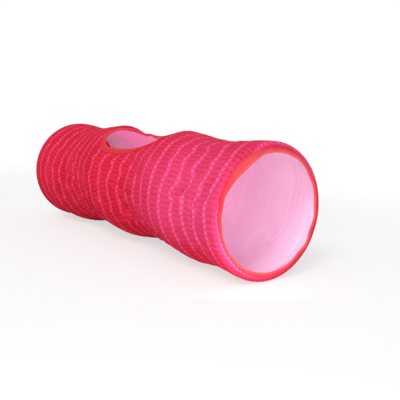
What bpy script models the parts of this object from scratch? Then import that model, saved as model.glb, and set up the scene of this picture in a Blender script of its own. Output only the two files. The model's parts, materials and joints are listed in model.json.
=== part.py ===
"""Pop-up cat tunnel: two sleeves of cloth held open by one spring wire.

The wire makes a closed hoop at each end and a right-handed spiral between them. The woven cover
lies outside it and a smooth lining inside it. Tapes hold the wire in its channel, and a red
binding wraps the raw edges at both mouths and round the peephole.

Metres, +Z up. The tunnel lies along X with its front mouth at +X, and the origin is on the
floor below the middle. Angles round the tunnel start at the top and grow towards -Y.
"""

import math

import bmesh
import bpy
from mathutils import Vector

# Driving sizes
HOOP_DIAMETER = 0.250  # outside of the cover over an end hoop
HOOP_SPAN = 0.764  # between the planes of the two end hoops
SPIRAL_TURNS = 3  # turns of wire between the hoops
SAG = 0.016  # how far the cloth draws in midway between two passes of wire

# Cloth, tape and wire
COVER_THICKNESS = 0.0008
LINING_THICKNESS = 0.0005
TAPE_THICKNESS = 0.0005
BINDING_THICKNESS = 0.0006
WIRE_DIAMETER = 0.0020
CLEARANCE = 0.0003  # between touching pieces
OVERRUN = 0.010  # how far a cutter runs past what it cuts

# End hoops and mouths
WIRE_TIP_GAP = 0.00045  # between the wire's laid end and the hoop beside it
TIP_EASE_ANGLE = math.radians(45)  # turn over which the laid end joins its hoop
FERRULE_LENGTH = 0.014
FERRULE_WALL = 0.0004
CHANNEL_REACH = 0.006  # flat of the cover on the inner side of a hoop's plane
BEND_REACH = 0.0035  # where the cover turns in, measured from the end of that flat
BEND_DRAW = 0.0055
MOUTH_REACH = 0.0065  # the mouth's raw edge, measured from the end of that flat
MOUTH_DRAW = 0.0175
BINDING_LEG = 0.0085  # width of the folded binding on each side of an edge

# Tapes along the wire and the seam
CASING_WIDTH = 0.014
SEAM_WIDTH = 0.008

# Peephole, on the top towards the back
PEEPHOLE_LENGTH = 0.206
PEEPHOLE_WIDTH = 0.072  # halfway along, and it is wider behind
PEEPHOLE_PLACE = 0.0105  # its middle, from the middle of the tunnel
PEEPHOLE_TURN = math.radians(27)  # its middle, from the top
PEEPHOLE_TAPER_SHARE = 0.6  # how much narrower its front half is
PEEPHOLE_POINTS = 40

# Counts and shares that set how finely the shapes are faceted
COLUMNS = 24  # facets round the tunnel
CELLS = 19  # facets along it, between the hoop channels
EASE_SHARE = 0.02  # share of the spiral over which the wire leaves a hoop's plane
SPAN_POWER = 1.5  # a short span of cloth sags less than a long one
FERRULE_ARC_POINTS = 7
GAP_SAMPLE_SHARES = (0.0, 0.25, 0.5, 0.75)  # places on each straight stretch of wire
SHARP_ANGLE = math.radians(30)  # an edge bent more than this stays sharp in the shading

# Worked out from the sizes above
MERGE_DISTANCE = CLEARANCE / 10
FULL_TURN = 2 * math.pi
COLUMN = FULL_TURN / COLUMNS
HALF_COLUMN = COLUMN / 2
HOOP_RADIUS = HOOP_DIAMETER / 2
AXIS_HEIGHT = HOOP_RADIUS * math.cos(HALF_COLUMN)
HOOP_PLACE = HOOP_SPAN / 2
CHANNEL_END = HOOP_PLACE - CHANNEL_REACH
PITCH = HOOP_SPAN / SPIRAL_TURNS
CELL = 2 * CHANNEL_END / CELLS
RIDGE_SLACK = SAG * math.sin(math.pi * CELL / 2 / PITCH) ** 2
WIRE_RADIUS = WIRE_DIAMETER / 2
TIP_OFFSET = WIRE_DIAMETER + WIRE_TIP_GAP
FERRULE_SKIN = CLEARANCE + FERRULE_WALL
CREST_END = HOOP_PLACE + TIP_OFFSET + WIRE_RADIUS + FERRULE_SKIN + CLEARANCE

# Depths below the cover's outer face, over the wire
WIRE_DEPTH = COVER_THICKNESS + RIDGE_SLACK + CLEARANCE + FERRULE_SKIN + WIRE_RADIUS
CASING_DEPTH = WIRE_DEPTH + WIRE_RADIUS + FERRULE_SKIN + CLEARANCE
LINING_DEPTH = CASING_DEPTH + TAPE_THICKNESS + CLEARANCE
LINING_FACE_DEPTH = LINING_DEPTH + LINING_THICKNESS
SEAM_DEPTH = LINING_FACE_DEPTH + CLEARANCE


# Where the wire and the cloth lie


def smooth(value):
    """0 below 0, 1 above 1, and an even slope between them."""
    value = min(max(value, 0), 1)
    return value * value * (3 - 2 * value)


def eased(progress):
    """Share of the way along the spiral, which starts and ends flat in a hoop's plane."""
    progress = min(max(progress, 0), 1)
    if progress > 0.5:
        return 1 - eased(1 - progress)
    slope = 1 / (1 - EASE_SHARE)
    if progress < EASE_SHARE:
        return slope * progress * progress / (2 * EASE_SHARE)
    return slope * (progress - EASE_SHARE / 2)


def spiral_x(angle):
    """Place of the wire along X. The angle is 0 where it leaves the back hoop."""
    turned_by = angle - HALF_COLUMN
    whole_turn = FULL_TURN * SPIRAL_TURNS - COLUMN
    return HOOP_SPAN * eased(turned_by / whole_turn) - HOOP_PLACE


def wire_x(angle):
    """Place along X of any point of the wire, its hoops and laid ends included."""
    if angle > FULL_TURN * SPIRAL_TURNS / 2:
        return -wire_x(FULL_TURN * SPIRAL_TURNS - angle)
    from_tip = angle + FULL_TURN - HALF_COLUMN
    laid = 1 - smooth(from_tip / TIP_EASE_ANGLE)
    return spiral_x(angle) - TIP_OFFSET * laid


def round_point(x, angle, radius):
    return Vector((x, -radius * math.sin(angle), radius * math.cos(angle)))


def drawn_in(x, angle):
    """How far the cloth lies inside the hoops' radius at a place along and round the tunnel."""
    held = [-CHANNEL_END, CHANNEL_END]
    held += [spiral_x(angle % FULL_TURN + FULL_TURN * turn) for turn in range(SPIRAL_TURNS)]
    behind = [place for place in held if place <= x]
    ahead = [place for place in held if place > x]
    if not behind or not ahead or abs(x) >= CHANNEL_END:
        return 0.0
    start = max(behind)
    span = min(ahead) - start
    depth = SAG * min(1, span / PITCH) ** SPAN_POWER
    return depth * math.sin(math.pi * (x - start) / span) ** 2


# Helpers that make and place shapes


def clear_scene():
    for obj in list(bpy.data.objects):
        bpy.data.objects.remove(obj, do_unlink=True)


def new_collection(name):
    collection = bpy.data.collections.new(name)
    bpy.context.scene.collection.children.link(collection)
    return collection


def new_material(name, colour, roughness, metallic=0.0):
    material = bpy.data.materials.new(name)
    material.use_nodes = True
    shader = material.node_tree.nodes["Principled BSDF"]
    shader.inputs["Base Color"].default_value = (*colour, 1)
    shader.inputs["Roughness"].default_value = roughness
    shader.inputs["Metallic"].default_value = metallic
    return material


def hide_as_cutter(obj):
    obj.hide_render = True
    obj.display_type = "WIRE"


def new_object(name, data, collection, material=None):
    """An object whose own origin is on the tunnel's axis."""
    obj = bpy.data.objects.new(name, data)
    obj.location = (0, 0, AXIS_HEIGHT)
    collection.objects.link(obj)
    if material:
        data.materials.append(material)
    return obj


def baked(obj):
    """Turns a curve, or a mesh with its modifiers, into a plain closed mesh."""
    bpy.context.view_layer.update()
    graph = bpy.context.evaluated_depsgraph_get()
    mesh = bpy.data.meshes.new_from_object(obj.evaluated_get(graph))
    build = bmesh.new()
    build.from_mesh(mesh)
    bmesh.ops.remove_doubles(build, verts=build.verts, dist=MERGE_DISTANCE)
    bmesh.ops.recalc_face_normals(build, faces=build.faces)
    build.to_mesh(mesh)
    build.free()
    name = obj.name
    plain = bpy.data.objects.new(name + "_plain", mesh)
    plain.matrix_world = obj.matrix_world
    obj.users_collection[0].objects.link(plain)
    bpy.data.objects.remove(obj, do_unlink=True)
    plain.name = name
    return plain


def cut(obj, other, operation="DIFFERENCE"):
    modifier = obj.modifiers.new(other.name, "BOOLEAN")
    modifier.operation = operation
    modifier.solver = "EXACT"
    modifier.object = other


def offset_line(points, distance):
    """The line moved sideways by a distance, to the right of its direction, with mitred corners."""
    moved = []
    for index, point in enumerate(points):
        before = points[max(index - 1, 0)]
        after = points[min(index + 1, len(points) - 1)]
        normals = []
        for start, end in ((before, point), (point, after)):
            step = end - start
            if step.length > 0:
                normals.append(Vector((step.y, -step.x)).normalized())
        middle = (normals[0] + normals[-1]).normalized()
        moved.append(point + middle * (distance / middle.dot(normals[0])))
    return moved


def turned(name, outline, collection, material=None):
    """A ring turned round the X axis from a closed outline of (place along X, radius)."""
    mesh = bpy.data.meshes.new(name)
    points = [round_point(x, HALF_COLUMN, radius) for x, radius in outline]
    count = len(points)
    mesh.from_pydata(points, [(i, (i + 1) % count) for i in range(count)], [])
    obj = new_object(name, mesh, collection, material)
    screw = obj.modifiers.new("Turn", "SCREW")
    screw.axis = "X"
    screw.steps = COLUMNS
    screw.render_steps = COLUMNS
    screw.use_merge_vertices = True
    screw.merge_threshold = MERGE_DISTANCE
    return baked(obj)


def sleeve(name, line, thickness, collection, material=None):
    """A cloth sleeve: turned from its outer line, then drawn in between the wire's passes."""
    outline = line + offset_line(line, thickness)[::-1]
    obj = turned(name, outline, collection, material)
    build = bmesh.new()
    build.from_mesh(obj.data)
    for point in build.verts:
        angle = math.atan2(-point.co.y, point.co.z)
        radius = math.hypot(point.co.y, point.co.z)
        point.co = round_point(point.co.x, angle, radius - drawn_in(point.co.x, angle))
    bmesh.ops.triangulate(build, faces=build.faces, quad_method="SHORT_EDGE")
    build.to_mesh(obj.data)
    build.free()
    return obj


def body_line(depth, end):
    """Places and radii along the sleeve from -end to end, at a depth below the cover's face."""
    places = [CELL * cell - CHANNEL_END for cell in range(CELLS + 1)]
    places = [-end] + places + [end]
    return [Vector((place, HOOP_RADIUS - depth)) for place in places]


def mirrored_ends(front_points, middle):
    """A line that runs from the back mouth over the middle to the front mouth."""
    back = [Vector((-point.x, point.y)) for point in reversed(front_points)]
    return back + middle + front_points


# The mouth's section at +X, as (place along X, radius)

COVER_BEND = Vector((CREST_END + BEND_REACH, HOOP_RADIUS - BEND_DRAW))
COVER_EDGE = Vector((CREST_END + MOUTH_REACH, HOOP_RADIUS - MOUTH_DRAW))
LINING_BEND = Vector((CREST_END, HOOP_RADIUS - LINING_DEPTH))
FLANGE = (COVER_EDGE - COVER_BEND).normalized()
FLANGE_OUT = Vector((-FLANGE.y, FLANGE.x))
LINING_EDGE = COVER_EDGE - FLANGE_OUT * (COVER_THICKNESS + CLEARANCE)
LINING_FLANGE = (LINING_EDGE - LINING_BEND).normalized()
LINING_IN = Vector((LINING_FLANGE.y, -LINING_FLANGE.x))


def make_cover(collection, material):
    line = mirrored_ends([COVER_BEND, COVER_EDGE], body_line(0, CREST_END))
    return sleeve("outer_cover", line, COVER_THICKNESS, collection, material)


def make_lining(collection, material):
    line = mirrored_ends([LINING_EDGE], body_line(LINING_DEPTH, CREST_END))
    return sleeve("lining", line, LINING_THICKNESS, collection, material)


def make_wire(collection, material):
    """One wire: back hoop, spiral and front hoop, as a single unbroken tube."""
    count = COLUMNS * (SPIRAL_TURNS + 2) + 2
    first = -FULL_TURN - HALF_COLUMN
    radius = HOOP_RADIUS - WIRE_DEPTH
    angles = [first + COLUMN * step for step in range(count)]
    points = [round_point(wire_x(angle), angle, radius) for angle in angles]
    curve = bpy.data.curves.new("spring_wire", "CURVE")
    curve.dimensions = "3D"
    spline = curve.splines.new("POLY")
    spline.points.add(count - 1)
    for knot, point in zip(spline.points, points):
        knot.co = (*point, 1)
    curve.bevel_depth = WIRE_RADIUS
    curve.bevel_resolution = 1
    curve.use_fill_caps = True
    report_least_gap(points)
    return baked(new_object("spring_wire", curve, collection, material))


def report_least_gap(points):
    """Prints the least gap between stretches of the wire a quarter turn or more apart."""
    samples = []
    for start, end in zip(points, points[1:]):
        samples += [start.lerp(end, share) for share in GAP_SAMPLE_SHARES]
    quarter_turn = COLUMNS // 4 * len(GAP_SAMPLE_SHARES)
    least = min(
        (samples[j] - samples[i]).length
        for i in range(len(samples))
        for j in range(i + quarter_turn, len(samples))
    )
    print(f"least gap between turns of the wire: {(least - WIRE_DIAMETER) * 1000:.2f} mm")


def stadium(spline, width, height, reverse=False):
    """Sets a closed spline to an outline with straight flats and round ends."""
    radius = height / 2
    straight = width / 2 - radius
    arc_steps = FERRULE_ARC_POINTS - 1
    points = []
    for side in (1, -1):
        for step in range(FERRULE_ARC_POINTS):
            angle = math.pi * (step / arc_steps - 0.5)
            across = side * (straight + radius * math.cos(angle))
            points.append((across, side * radius * math.sin(angle), 0, 1))
    if reverse:
        points.reverse()
    spline.points.add(len(points) - 1)
    for knot, point in zip(spline.points, points):
        knot.co = point
    spline.use_cyclic_u = True


def make_ferrule(name, end, collection, material):
    """A pressed sleeve round the wire's laid end and its hoop, at the top of the hoop."""
    curve = bpy.data.curves.new(name, "CURVE")
    curve.dimensions = "2D"
    curve.fill_mode = "BOTH"
    curve.extrude = FERRULE_LENGTH / 2
    bore_width = TIP_OFFSET + WIRE_DIAMETER + 2 * CLEARANCE
    bore_height = WIRE_DIAMETER + 2 * CLEARANCE
    skin = 2 * FERRULE_WALL
    stadium(curve.splines.new("POLY"), bore_width + skin, bore_height + skin)
    stadium(curve.splines.new("POLY"), bore_width, bore_height, reverse=True)
    obj = new_object(name, curve, collection, material)
    flat_height = (HOOP_RADIUS - WIRE_DEPTH) * math.cos(HALF_COLUMN)
    obj.location.x = end * (HOOP_PLACE + TIP_OFFSET / 2)
    obj.location.z = AXIS_HEIGHT + flat_height
    obj.rotation_euler.x = math.pi / 2
    return baked(obj)


def make_end_casing(name, end, collection, material):
    """The tape under an end hoop's wire, a flat band that closes its channel."""
    inner_edge = HOOP_PLACE - (CASING_WIDTH - (CREST_END - HOOP_PLACE))
    line = [
        Vector((place, HOOP_RADIUS - CASING_DEPTH)) for place in (inner_edge, CREST_END)
    ]
    outline = line + offset_line(line, TAPE_THICKNESS)[::-1]
    outline = [Vector((end * point.x, point.y)) for point in outline]
    return turned(name, outline, collection, material)


def make_spiral_casing(collection, material):
    """The tape under the spiral wire, from where it clears one end's tape to the other's."""
    half_width = CASING_WIDTH / 2
    end_tape = CASING_WIDTH - (CREST_END - HOOP_PLACE)
    furthest = HOOP_PLACE - end_tape - half_width - CLEARANCE
    radius = HOOP_RADIUS - CASING_DEPTH
    steps = COLUMNS * SPIRAL_TURNS
    angles = [HALF_COLUMN + COLUMN * step for step in range(steps)]
    angles = [angle for angle in angles if abs(spiral_x(angle)) <= furthest]
    build = bmesh.new()
    rows = []
    for angle in angles:
        place = spiral_x(angle)
        edges = (place - half_width, place + half_width)
        rows.append([build.verts.new(round_point(x, angle, radius)) for x in edges])
    for row, following in zip(rows, rows[1:]):
        build.faces.new((row[0], following[0], following[1], row[1]))
    mesh = bpy.data.meshes.new("spiral_casing")
    build.to_mesh(mesh)
    build.free()
    obj = new_object("spiral_casing", mesh, collection, material)
    solidify = obj.modifiers.new("Tape", "SOLIDIFY")
    solidify.thickness = TAPE_THICKNESS
    solidify.offset = 1 if inward(mesh) else -1
    return baked(obj)


def inward(mesh):
    """True if the mesh's first face looks towards the tunnel's axis."""
    face = mesh.polygons[0]
    outwards = Vector((0, face.center.y, face.center.z))
    return face.normal.dot(outwards) < 0


def make_end_binding(name, end, collection, material):
    """The red tape folded over the raw edges of cover and lining at a mouth."""
    lining_face = LINING_IN * (LINING_THICKNESS + CLEARANCE)
    outer_side = FLANGE_OUT * CLEARANCE
    pocket = [
        COVER_EDGE - FLANGE * BINDING_LEG + outer_side,
        COVER_EDGE + FLANGE * CLEARANCE + outer_side,
        LINING_EDGE + LINING_FLANGE * CLEARANCE + lining_face,
        LINING_EDGE - LINING_FLANGE * BINDING_LEG + lining_face,
    ]
    outline = pocket + offset_line(pocket, -BINDING_THICKNESS)[::-1]
    outline = [Vector((end * point.x, point.y)) for point in outline]
    return turned(name, outline, collection, material)


def peephole_outline(grow):
    """The peephole's egg outline, narrow end forward, moved outwards by a distance."""
    points = []
    for step in range(PEEPHOLE_POINTS):
        angle = FULL_TURN * step / PEEPHOLE_POINTS
        taper = 1 - PEEPHOLE_TAPER_SHARE * math.cos(angle)
        along = PEEPHOLE_LENGTH / 2 * math.cos(angle)
        across = PEEPHOLE_WIDTH / 2 * math.sin(angle) * taper
        points.append(Vector((along, across)))
    closed = [points[-1]] + points + [points[0]]
    return offset_line(closed, grow)[1:-1]


def make_prism(name, grow, collection):
    """A straight plug of the peephole's outline, from the axis out through the upper wall."""
    roof = HOOP_RADIUS + OVERRUN
    curve = bpy.data.curves.new(name, "CURVE")
    curve.dimensions = "2D"
    curve.fill_mode = "BOTH"
    curve.extrude = roof / 2
    spline = curve.splines.new("POLY")
    outline = peephole_outline(grow)
    spline.points.add(len(outline) - 1)
    for knot, point in zip(spline.points, outline):
        knot.co = (point.x, point.y, 0, 1)
    spline.use_cyclic_u = True
    obj = new_object(name, curve, collection)
    middle = round_point(PEEPHOLE_PLACE, PEEPHOLE_TURN, roof / 2)
    obj.location += middle
    obj.rotation_euler.x = PEEPHOLE_TURN
    prism = baked(obj)
    hide_as_cutter(prism)
    return prism


def make_peephole_binding(collection, cutters, material):
    """The red tape folded over the raw edges of cover and lining round the peephole."""
    wrap = CLEARANCE + BINDING_THICKNESS
    whole = body_line(-wrap, CREST_END)
    deep = LINING_FACE_DEPTH + 2 * wrap
    blank = sleeve("peephole_binding", whole, deep, collection, material)
    space = body_line(-CLEARANCE, CREST_END)
    pocket_depth = LINING_FACE_DEPTH + 2 * CLEARANCE
    pocket = sleeve("binding_pocket", space, pocket_depth, cutters)
    hide_as_cutter(pocket)
    cut(pocket, make_prism("pocket_end", -CLEARANCE, cutters))
    cut(blank, make_prism("binding_reach", BINDING_LEG, cutters), "INTERSECT")
    cut(blank, make_prism("binding_opening", -wrap, cutters))
    cut(blank, pocket)
    return blank


def make_seam_tape(collection, cutters, material):
    """The tape over the lengthwise seam, inside the lining along the bottom."""
    tape = sleeve("seam_tape", body_line(SEAM_DEPTH, CREST_END), TAPE_THICKNESS, collection)
    tape.data.materials.append(material)
    build = bmesh.new()
    bmesh.ops.create_cube(build, size=1)
    bmesh.ops.scale(build, vec=(2 * CHANNEL_END, SEAM_WIDTH, HOOP_RADIUS), verts=build.verts)
    mesh = bpy.data.meshes.new("seam_reach")
    build.to_mesh(mesh)
    build.free()
    box = new_object("seam_reach", mesh, cutters)
    box.location.z = AXIS_HEIGHT - HOOP_RADIUS
    hide_as_cutter(box)
    cut(tape, box, "INTERSECT")
    return tape


def finish_edges(collection):
    """Round pieces shade smooth, with their real edges kept sharp."""
    for obj in collection.objects:
        obj.data.shade_smooth()
        obj.data.set_sharp_from_angle(angle=SHARP_ANGLE)


def main():
    clear_scene()
    tunnel = new_collection("cat_tunnel")
    cutters = new_collection("cutters")
    weave = new_material("cover_weave", (0.72, 0.04, 0.11), 0.85)
    nylon = new_material("lining_nylon", (0.88, 0.34, 0.57), 0.55)
    binding = new_material("red_binding", (0.80, 0.045, 0.06), 0.70)
    tape = new_material("pink_tape", (0.80, 0.12, 0.30), 0.80)
    steel = new_material("spring_steel", (0.45, 0.45, 0.47), 0.35, 1.0)
    aluminium = new_material("crimped_aluminium", (0.70, 0.70, 0.72), 0.40, 1.0)

    cover = make_cover(tunnel, weave)
    lining = make_lining(tunnel, nylon)
    peephole = make_prism("peephole_cut", 0, cutters)
    cut(cover, peephole)
    cut(lining, peephole)
    make_wire(tunnel, steel)
    make_spiral_casing(tunnel, tape)
    make_seam_tape(tunnel, cutters, nylon)
    make_peephole_binding(tunnel, cutters, binding)
    for side, end in (("front", 1), ("back", -1)):
        make_ferrule(side + "_ferrule", end, tunnel, aluminium)
        make_end_casing(side + "_casing", end, tunnel, tape)
        make_end_binding(side + "_binding", end, tunnel, binding)
    finish_edges(tunnel)


main()
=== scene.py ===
# %% [markdown]
# # A pop-up play tunnel
# The real tunnel is two thin sleeves of cloth, one inside the other, sewn round one long spring
# wire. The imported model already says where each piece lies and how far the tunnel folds. This
# lesson dresses it: it rebuilds the cloth as fine meshes over the same wire, and gives each piece
# its finish. The frame is loaded first, because every later size is read from it.

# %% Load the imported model
import json
import math

import bmesh
import bpy
import numpy as np
from mathutils import Matrix, Vector

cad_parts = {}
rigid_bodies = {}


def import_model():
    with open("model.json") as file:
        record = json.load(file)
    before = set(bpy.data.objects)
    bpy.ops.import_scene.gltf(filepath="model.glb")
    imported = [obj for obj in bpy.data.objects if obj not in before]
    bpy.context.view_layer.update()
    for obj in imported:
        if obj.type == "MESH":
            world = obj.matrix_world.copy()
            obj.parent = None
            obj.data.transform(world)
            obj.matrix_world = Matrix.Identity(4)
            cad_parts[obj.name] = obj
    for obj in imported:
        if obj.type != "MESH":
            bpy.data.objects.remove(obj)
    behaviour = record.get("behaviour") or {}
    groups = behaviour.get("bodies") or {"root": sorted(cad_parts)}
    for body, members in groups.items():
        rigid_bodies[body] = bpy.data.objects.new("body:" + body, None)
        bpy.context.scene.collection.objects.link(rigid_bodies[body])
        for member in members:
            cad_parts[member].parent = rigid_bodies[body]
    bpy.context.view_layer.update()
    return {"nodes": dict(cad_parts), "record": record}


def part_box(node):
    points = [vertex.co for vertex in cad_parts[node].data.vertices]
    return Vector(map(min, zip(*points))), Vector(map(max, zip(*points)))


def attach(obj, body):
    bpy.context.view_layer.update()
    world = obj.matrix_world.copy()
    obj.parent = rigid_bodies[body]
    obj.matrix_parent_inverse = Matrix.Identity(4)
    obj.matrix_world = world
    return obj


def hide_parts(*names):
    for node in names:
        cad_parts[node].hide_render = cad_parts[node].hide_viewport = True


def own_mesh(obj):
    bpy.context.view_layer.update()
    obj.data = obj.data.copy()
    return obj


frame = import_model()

# %% [markdown]
# ## Sizes that follow the frame
# A tunnel like this is a tube about an axis. The cloth is described by two numbers, a place
# along X and an angle round the axis, so one set of sizes serves every sleeve, tape and seam.
# The model's tube has flat facets. The cloth here is truly round, so its radius is taken halfway
# between the facets' flats and their corners.

# %% Sizes that follow the frame
MM = 0.001
FULL_TURN = 2 * math.pi
FACETS = 24
SIDES = {"front": 1, "back": -1}  # which way each mouth faces along X
collapse = frame["record"]["behaviour"]["joints"][0]
HOOP_PLACE = -collapse["deforming_nodes"][0]["fixed_end_x_m"]
cover_low, cover_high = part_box("outer_cover")
AXIS_HEIGHT = (cover_low.z + cover_high.z) / 2
COVER_RADIUS = AXIS_HEIGHT * (1 + 1 / math.cos(math.pi / FACETS)) / 2
BODY_END = HOOP_PLACE - 10 * MM  # the hoops' collars begin here
CHANNEL_END = HOOP_PLACE - 6 * MM  # and the cloth is tight from here to the hoop
print(f"tunnel radius {COVER_RADIUS:.4f} m, hoops at x = {HOOP_PLACE:.3f} m either way")

# %% [markdown]
# ## Where the wire runs
# The wire leaves the back hoop, makes three turns like a spring, and joins the front hoop. The
# cloth is tight where it crosses the wire and drawn in between, so the tunnel looks like a soft
# screw. The same rule places the wire, the tapes and every ridge of the cloth, which keeps them
# together. An angle of 0 is the top, and angles grow towards -Y.

# %% The spiral
SPIRAL_TURNS = 3
EASE_SHARE = 0.02
WIRE_START = math.pi / FACETS
PITCH = 2 * HOOP_PLACE / SPIRAL_TURNS


def smooth(value):
    """0 below 0, 1 above 1, and an even slope between them."""
    value = np.clip(value, 0, 1)
    return value * value * (3 - 2 * value)


def eased(progress):
    """Share of the way along the spiral, which starts and ends flat in a hoop's plane."""
    progress = np.clip(progress, 0, 1)
    nearest = np.minimum(progress, 1 - progress)
    slope = 1 / (1 - EASE_SHARE)
    curved = slope * nearest**2 / (2 * EASE_SHARE)
    straight = slope * (nearest - EASE_SHARE / 2)
    gone = np.where(nearest < EASE_SHARE, curved, straight)
    return np.where(progress > 0.5, 1 - gone, gone)


def spiral_x(angle):
    """Place of the wire along X, after it has turned by an angle from the back hoop's top."""
    whole_turn = FULL_TURN * SPIRAL_TURNS - 2 * WIRE_START
    return 2 * HOOP_PLACE * eased((angle - WIRE_START) / whole_turn) - HOOP_PLACE


def wire_passes(angle):
    """Places along X where the cloth is held at an angle: both hoops and the spiral between."""
    turns = [spiral_x(angle % FULL_TURN + FULL_TURN * turn) for turn in range(SPIRAL_TURNS)]
    return [np.full_like(angle, -CHANNEL_END), *turns, np.full_like(angle, CHANNEL_END)]


print(f"the spiral's pitch is {PITCH * 1000:.0f} mm")

# %% [markdown]
# ## How the cloth hangs between the turns
# Between two passes of wire the cloth sags inwards. A wide span sags most, right under the
# peephole, where the cloth is cut open and slack. A short span near a hoop hardly sags.
# The middle of the tunnel also rises a little off the floor, because the wire is springy and
# light. The curve used is a raised sine, which leaves a soft ridge over the wire.

# %% The drawn-in cloth
SAG = 0.0165
SPAN_POWER = 1.5
RIDGE_POWER = 1.65
MIDDLE_SAG_SHARE = 0.25  # how much more the top of the middle span sags
END_SAG_SHARE = -0.42  # and how much less the tops of the end spans do
SIDE_SAG_SHARE = 0.35  # how much less the sides sag than the top and bottom
MIDDLE_REACH = 0.10
MIDDLE_FADE = 0.08
BOW = 0.007


def span_at(x, angle):
    """The nearest passes of wire behind and ahead of each place."""
    start = np.full_like(x, -CHANNEL_END)
    end = np.full_like(x, CHANNEL_END)
    for place in wire_passes(angle):
        start = np.where((place <= x) & (place > start), place, start)
        end = np.where((place > x) & (place < end), place, end)
    return start, end


def drawn_in(x, angle):
    """How far the cloth sags below the hoops' radius."""
    start, end = span_at(x, angle)
    span = np.maximum(end - start, 1e-6)
    share = np.clip((x - start) / span, 0, 1)
    top = (0.5 + 0.5 * np.cos(angle)) ** 2
    outside = smooth((np.abs(x) - MIDDLE_REACH) / MIDDLE_FADE)
    extra = MIDDLE_SAG_SHARE + (END_SAG_SHARE - MIDDLE_SAG_SHARE) * outside
    depth = SAG * np.minimum(1, span / PITCH) ** SPAN_POWER * (1 + top * extra)
    depth = depth * (1 - SIDE_SAG_SHARE * np.sin(angle) ** 2)
    sag = depth * np.sin(math.pi * share) ** RIDGE_POWER
    return np.where(np.abs(x) < CHANNEL_END, sag, 0)


def bowed(x):
    """How far the axis rises between the hoops."""
    return BOW * np.cos(math.pi / 2 * np.clip(x / BODY_END, -1, 1)) ** 2


middle = np.array([0.0])
print(f"the top sags {drawn_in(middle, middle)[0] * 1000:.1f} mm in the middle")

# %% [markdown]
# ## The peephole's outline
# The peephole is an egg with three soft corners, cut through both sleeves, its narrow end towards
# the front. It is drawn flat, as a place along X and a distance round the tube, and wrapped on
# afterwards. Its points come from an angle in an ellipse with one half squeezed. The way out from
# its edge is taken from two more points, a small step before and after.

# %% The peephole's outline
PEEPHOLE_LENGTH = 0.206
PEEPHOLE_WIDTH = 0.072
PEEPHOLE_PLACE = 0.0105
PEEPHOLE_TURN = math.radians(27)
PEEPHOLE_TAPER = 0.6
# Where the tape was turned. Each row: share of growth, turn and reach in degrees
PEEPHOLE_CORNERS = [(0.07, 124, 15), (0.08, 207, 16), (0.05, 238, 14)]
SMALL_STEP = 0.01


def humps(degrees, rows):
    """Adds up soft humps and dips. Each row: height, middle and reach in degrees."""
    return sum(height * np.exp(-(((degrees - place) / reach) ** 2))
               for height, place, reach in rows)


def peephole_outline(turn):
    """Place along X and distance round the tube, from the peephole's middle."""
    grown = 1 + humps(np.degrees(turn) % 360, PEEPHOLE_CORNERS)
    taper = 1 - PEEPHOLE_TAPER * np.cos(turn)
    along = PEEPHOLE_LENGTH / 2 * np.cos(turn) * grown
    across = PEEPHOLE_WIDTH / 2 * np.sin(turn) * taper * grown
    return along, across


def peephole_point(turn, out=0.0):
    """Place along X and angle round the tube, moved outwards from the raw edge."""
    along, across = peephole_outline(turn)
    along_before, across_before = peephole_outline(turn - SMALL_STEP)
    along_after, across_after = peephole_outline(turn + SMALL_STEP)
    along_step = along_after - along_before
    across_step = across_after - across_before
    steep = np.hypot(along_step, across_step)
    along = along + out * across_step / steep
    across = across - out * along_step / steep
    return PEEPHOLE_PLACE + along, PEEPHOLE_TURN + across / COVER_RADIUS


# %% Distance from the peephole
OUTLINE_STEPS = 240
CLOSE_ANGLE = 1.2
FAR_AWAY = 1.0


def wrapped(angle):
    """The same angle, between half a turn back and half a turn on."""
    return (angle + math.pi) % FULL_TURN - math.pi


def from_peephole(x, angle):
    """Distance of each place on the tube from the peephole's raw edge."""
    edge_x, edge_angle = peephole_point(np.linspace(0, FULL_TURN, OUTLINE_STEPS, endpoint=False))
    flat_x = np.ravel(x)
    flat_angle = wrapped(np.ravel(angle))
    close = np.abs(flat_x - PEEPHOLE_PLACE) < PEEPHOLE_LENGTH
    close &= np.abs(flat_angle - PEEPHOLE_TURN) < CLOSE_ANGLE
    gap_along = flat_x[close][:, None] - edge_x
    gap_round = (flat_angle[close][:, None] - edge_angle) * COVER_RADIUS
    nearest = np.full(flat_x.shape, FAR_AWAY)
    nearest[close] = np.hypot(gap_along, gap_round).min(1)
    return nearest.reshape(np.shape(x))


edge_x, _ = peephole_point(np.linspace(0, FULL_TURN, OUTLINE_STEPS))
print(f"peephole from x = {edge_x.min():.3f} to {edge_x.max():.3f} m")

# %% [markdown]
# ## Folds and creases
# Cloth that is drawn in has to go somewhere, so it gathers into shallow pleats that run along the
# tunnel, and into slanting creases where the spring twists it. Adding up waves of many lengths
# gives an uneven field that still joins up round the tunnel, as long as each wave fits a whole
# number of times round it. Narrow lines along that field's zeros make the creases.

# %% Uneven fields round the tunnel


def ripple(x, angle, seed, lengths, headings, count=14):
    """A seamless uneven field. Headings in degrees: 0 runs along X, 90 runs round the tunnel."""
    random = np.random.default_rng(seed)
    total = np.zeros_like(x)
    for _ in range(count):
        length = lengths[0] * (lengths[1] / lengths[0]) ** random.random()
        heading = math.radians(random.uniform(*headings))
        rounds = round(FULL_TURN * COVER_RADIUS * math.sin(heading) / length)
        along = FULL_TURN * math.cos(heading) / length
        total += np.sin(along * x + rounds * angle + random.uniform(0, FULL_TURN))
    return total / math.sqrt(count / 2)


def crease_lines(field, width):
    """1 along the zeros of a field and 0 away from them, with a sharp line in the middle."""
    return np.exp(-np.abs(field) / width)


def pleats(x, angle):
    return ripple(x, angle, 11, (0.034, 0.075), (58, 122))


trial = pleats(np.linspace(-0.3, 0.3, 200), np.zeros(200))
print(f"the field of pleats goes from {trial.min():.1f} to {trial.max():.1f} along the top")
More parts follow.
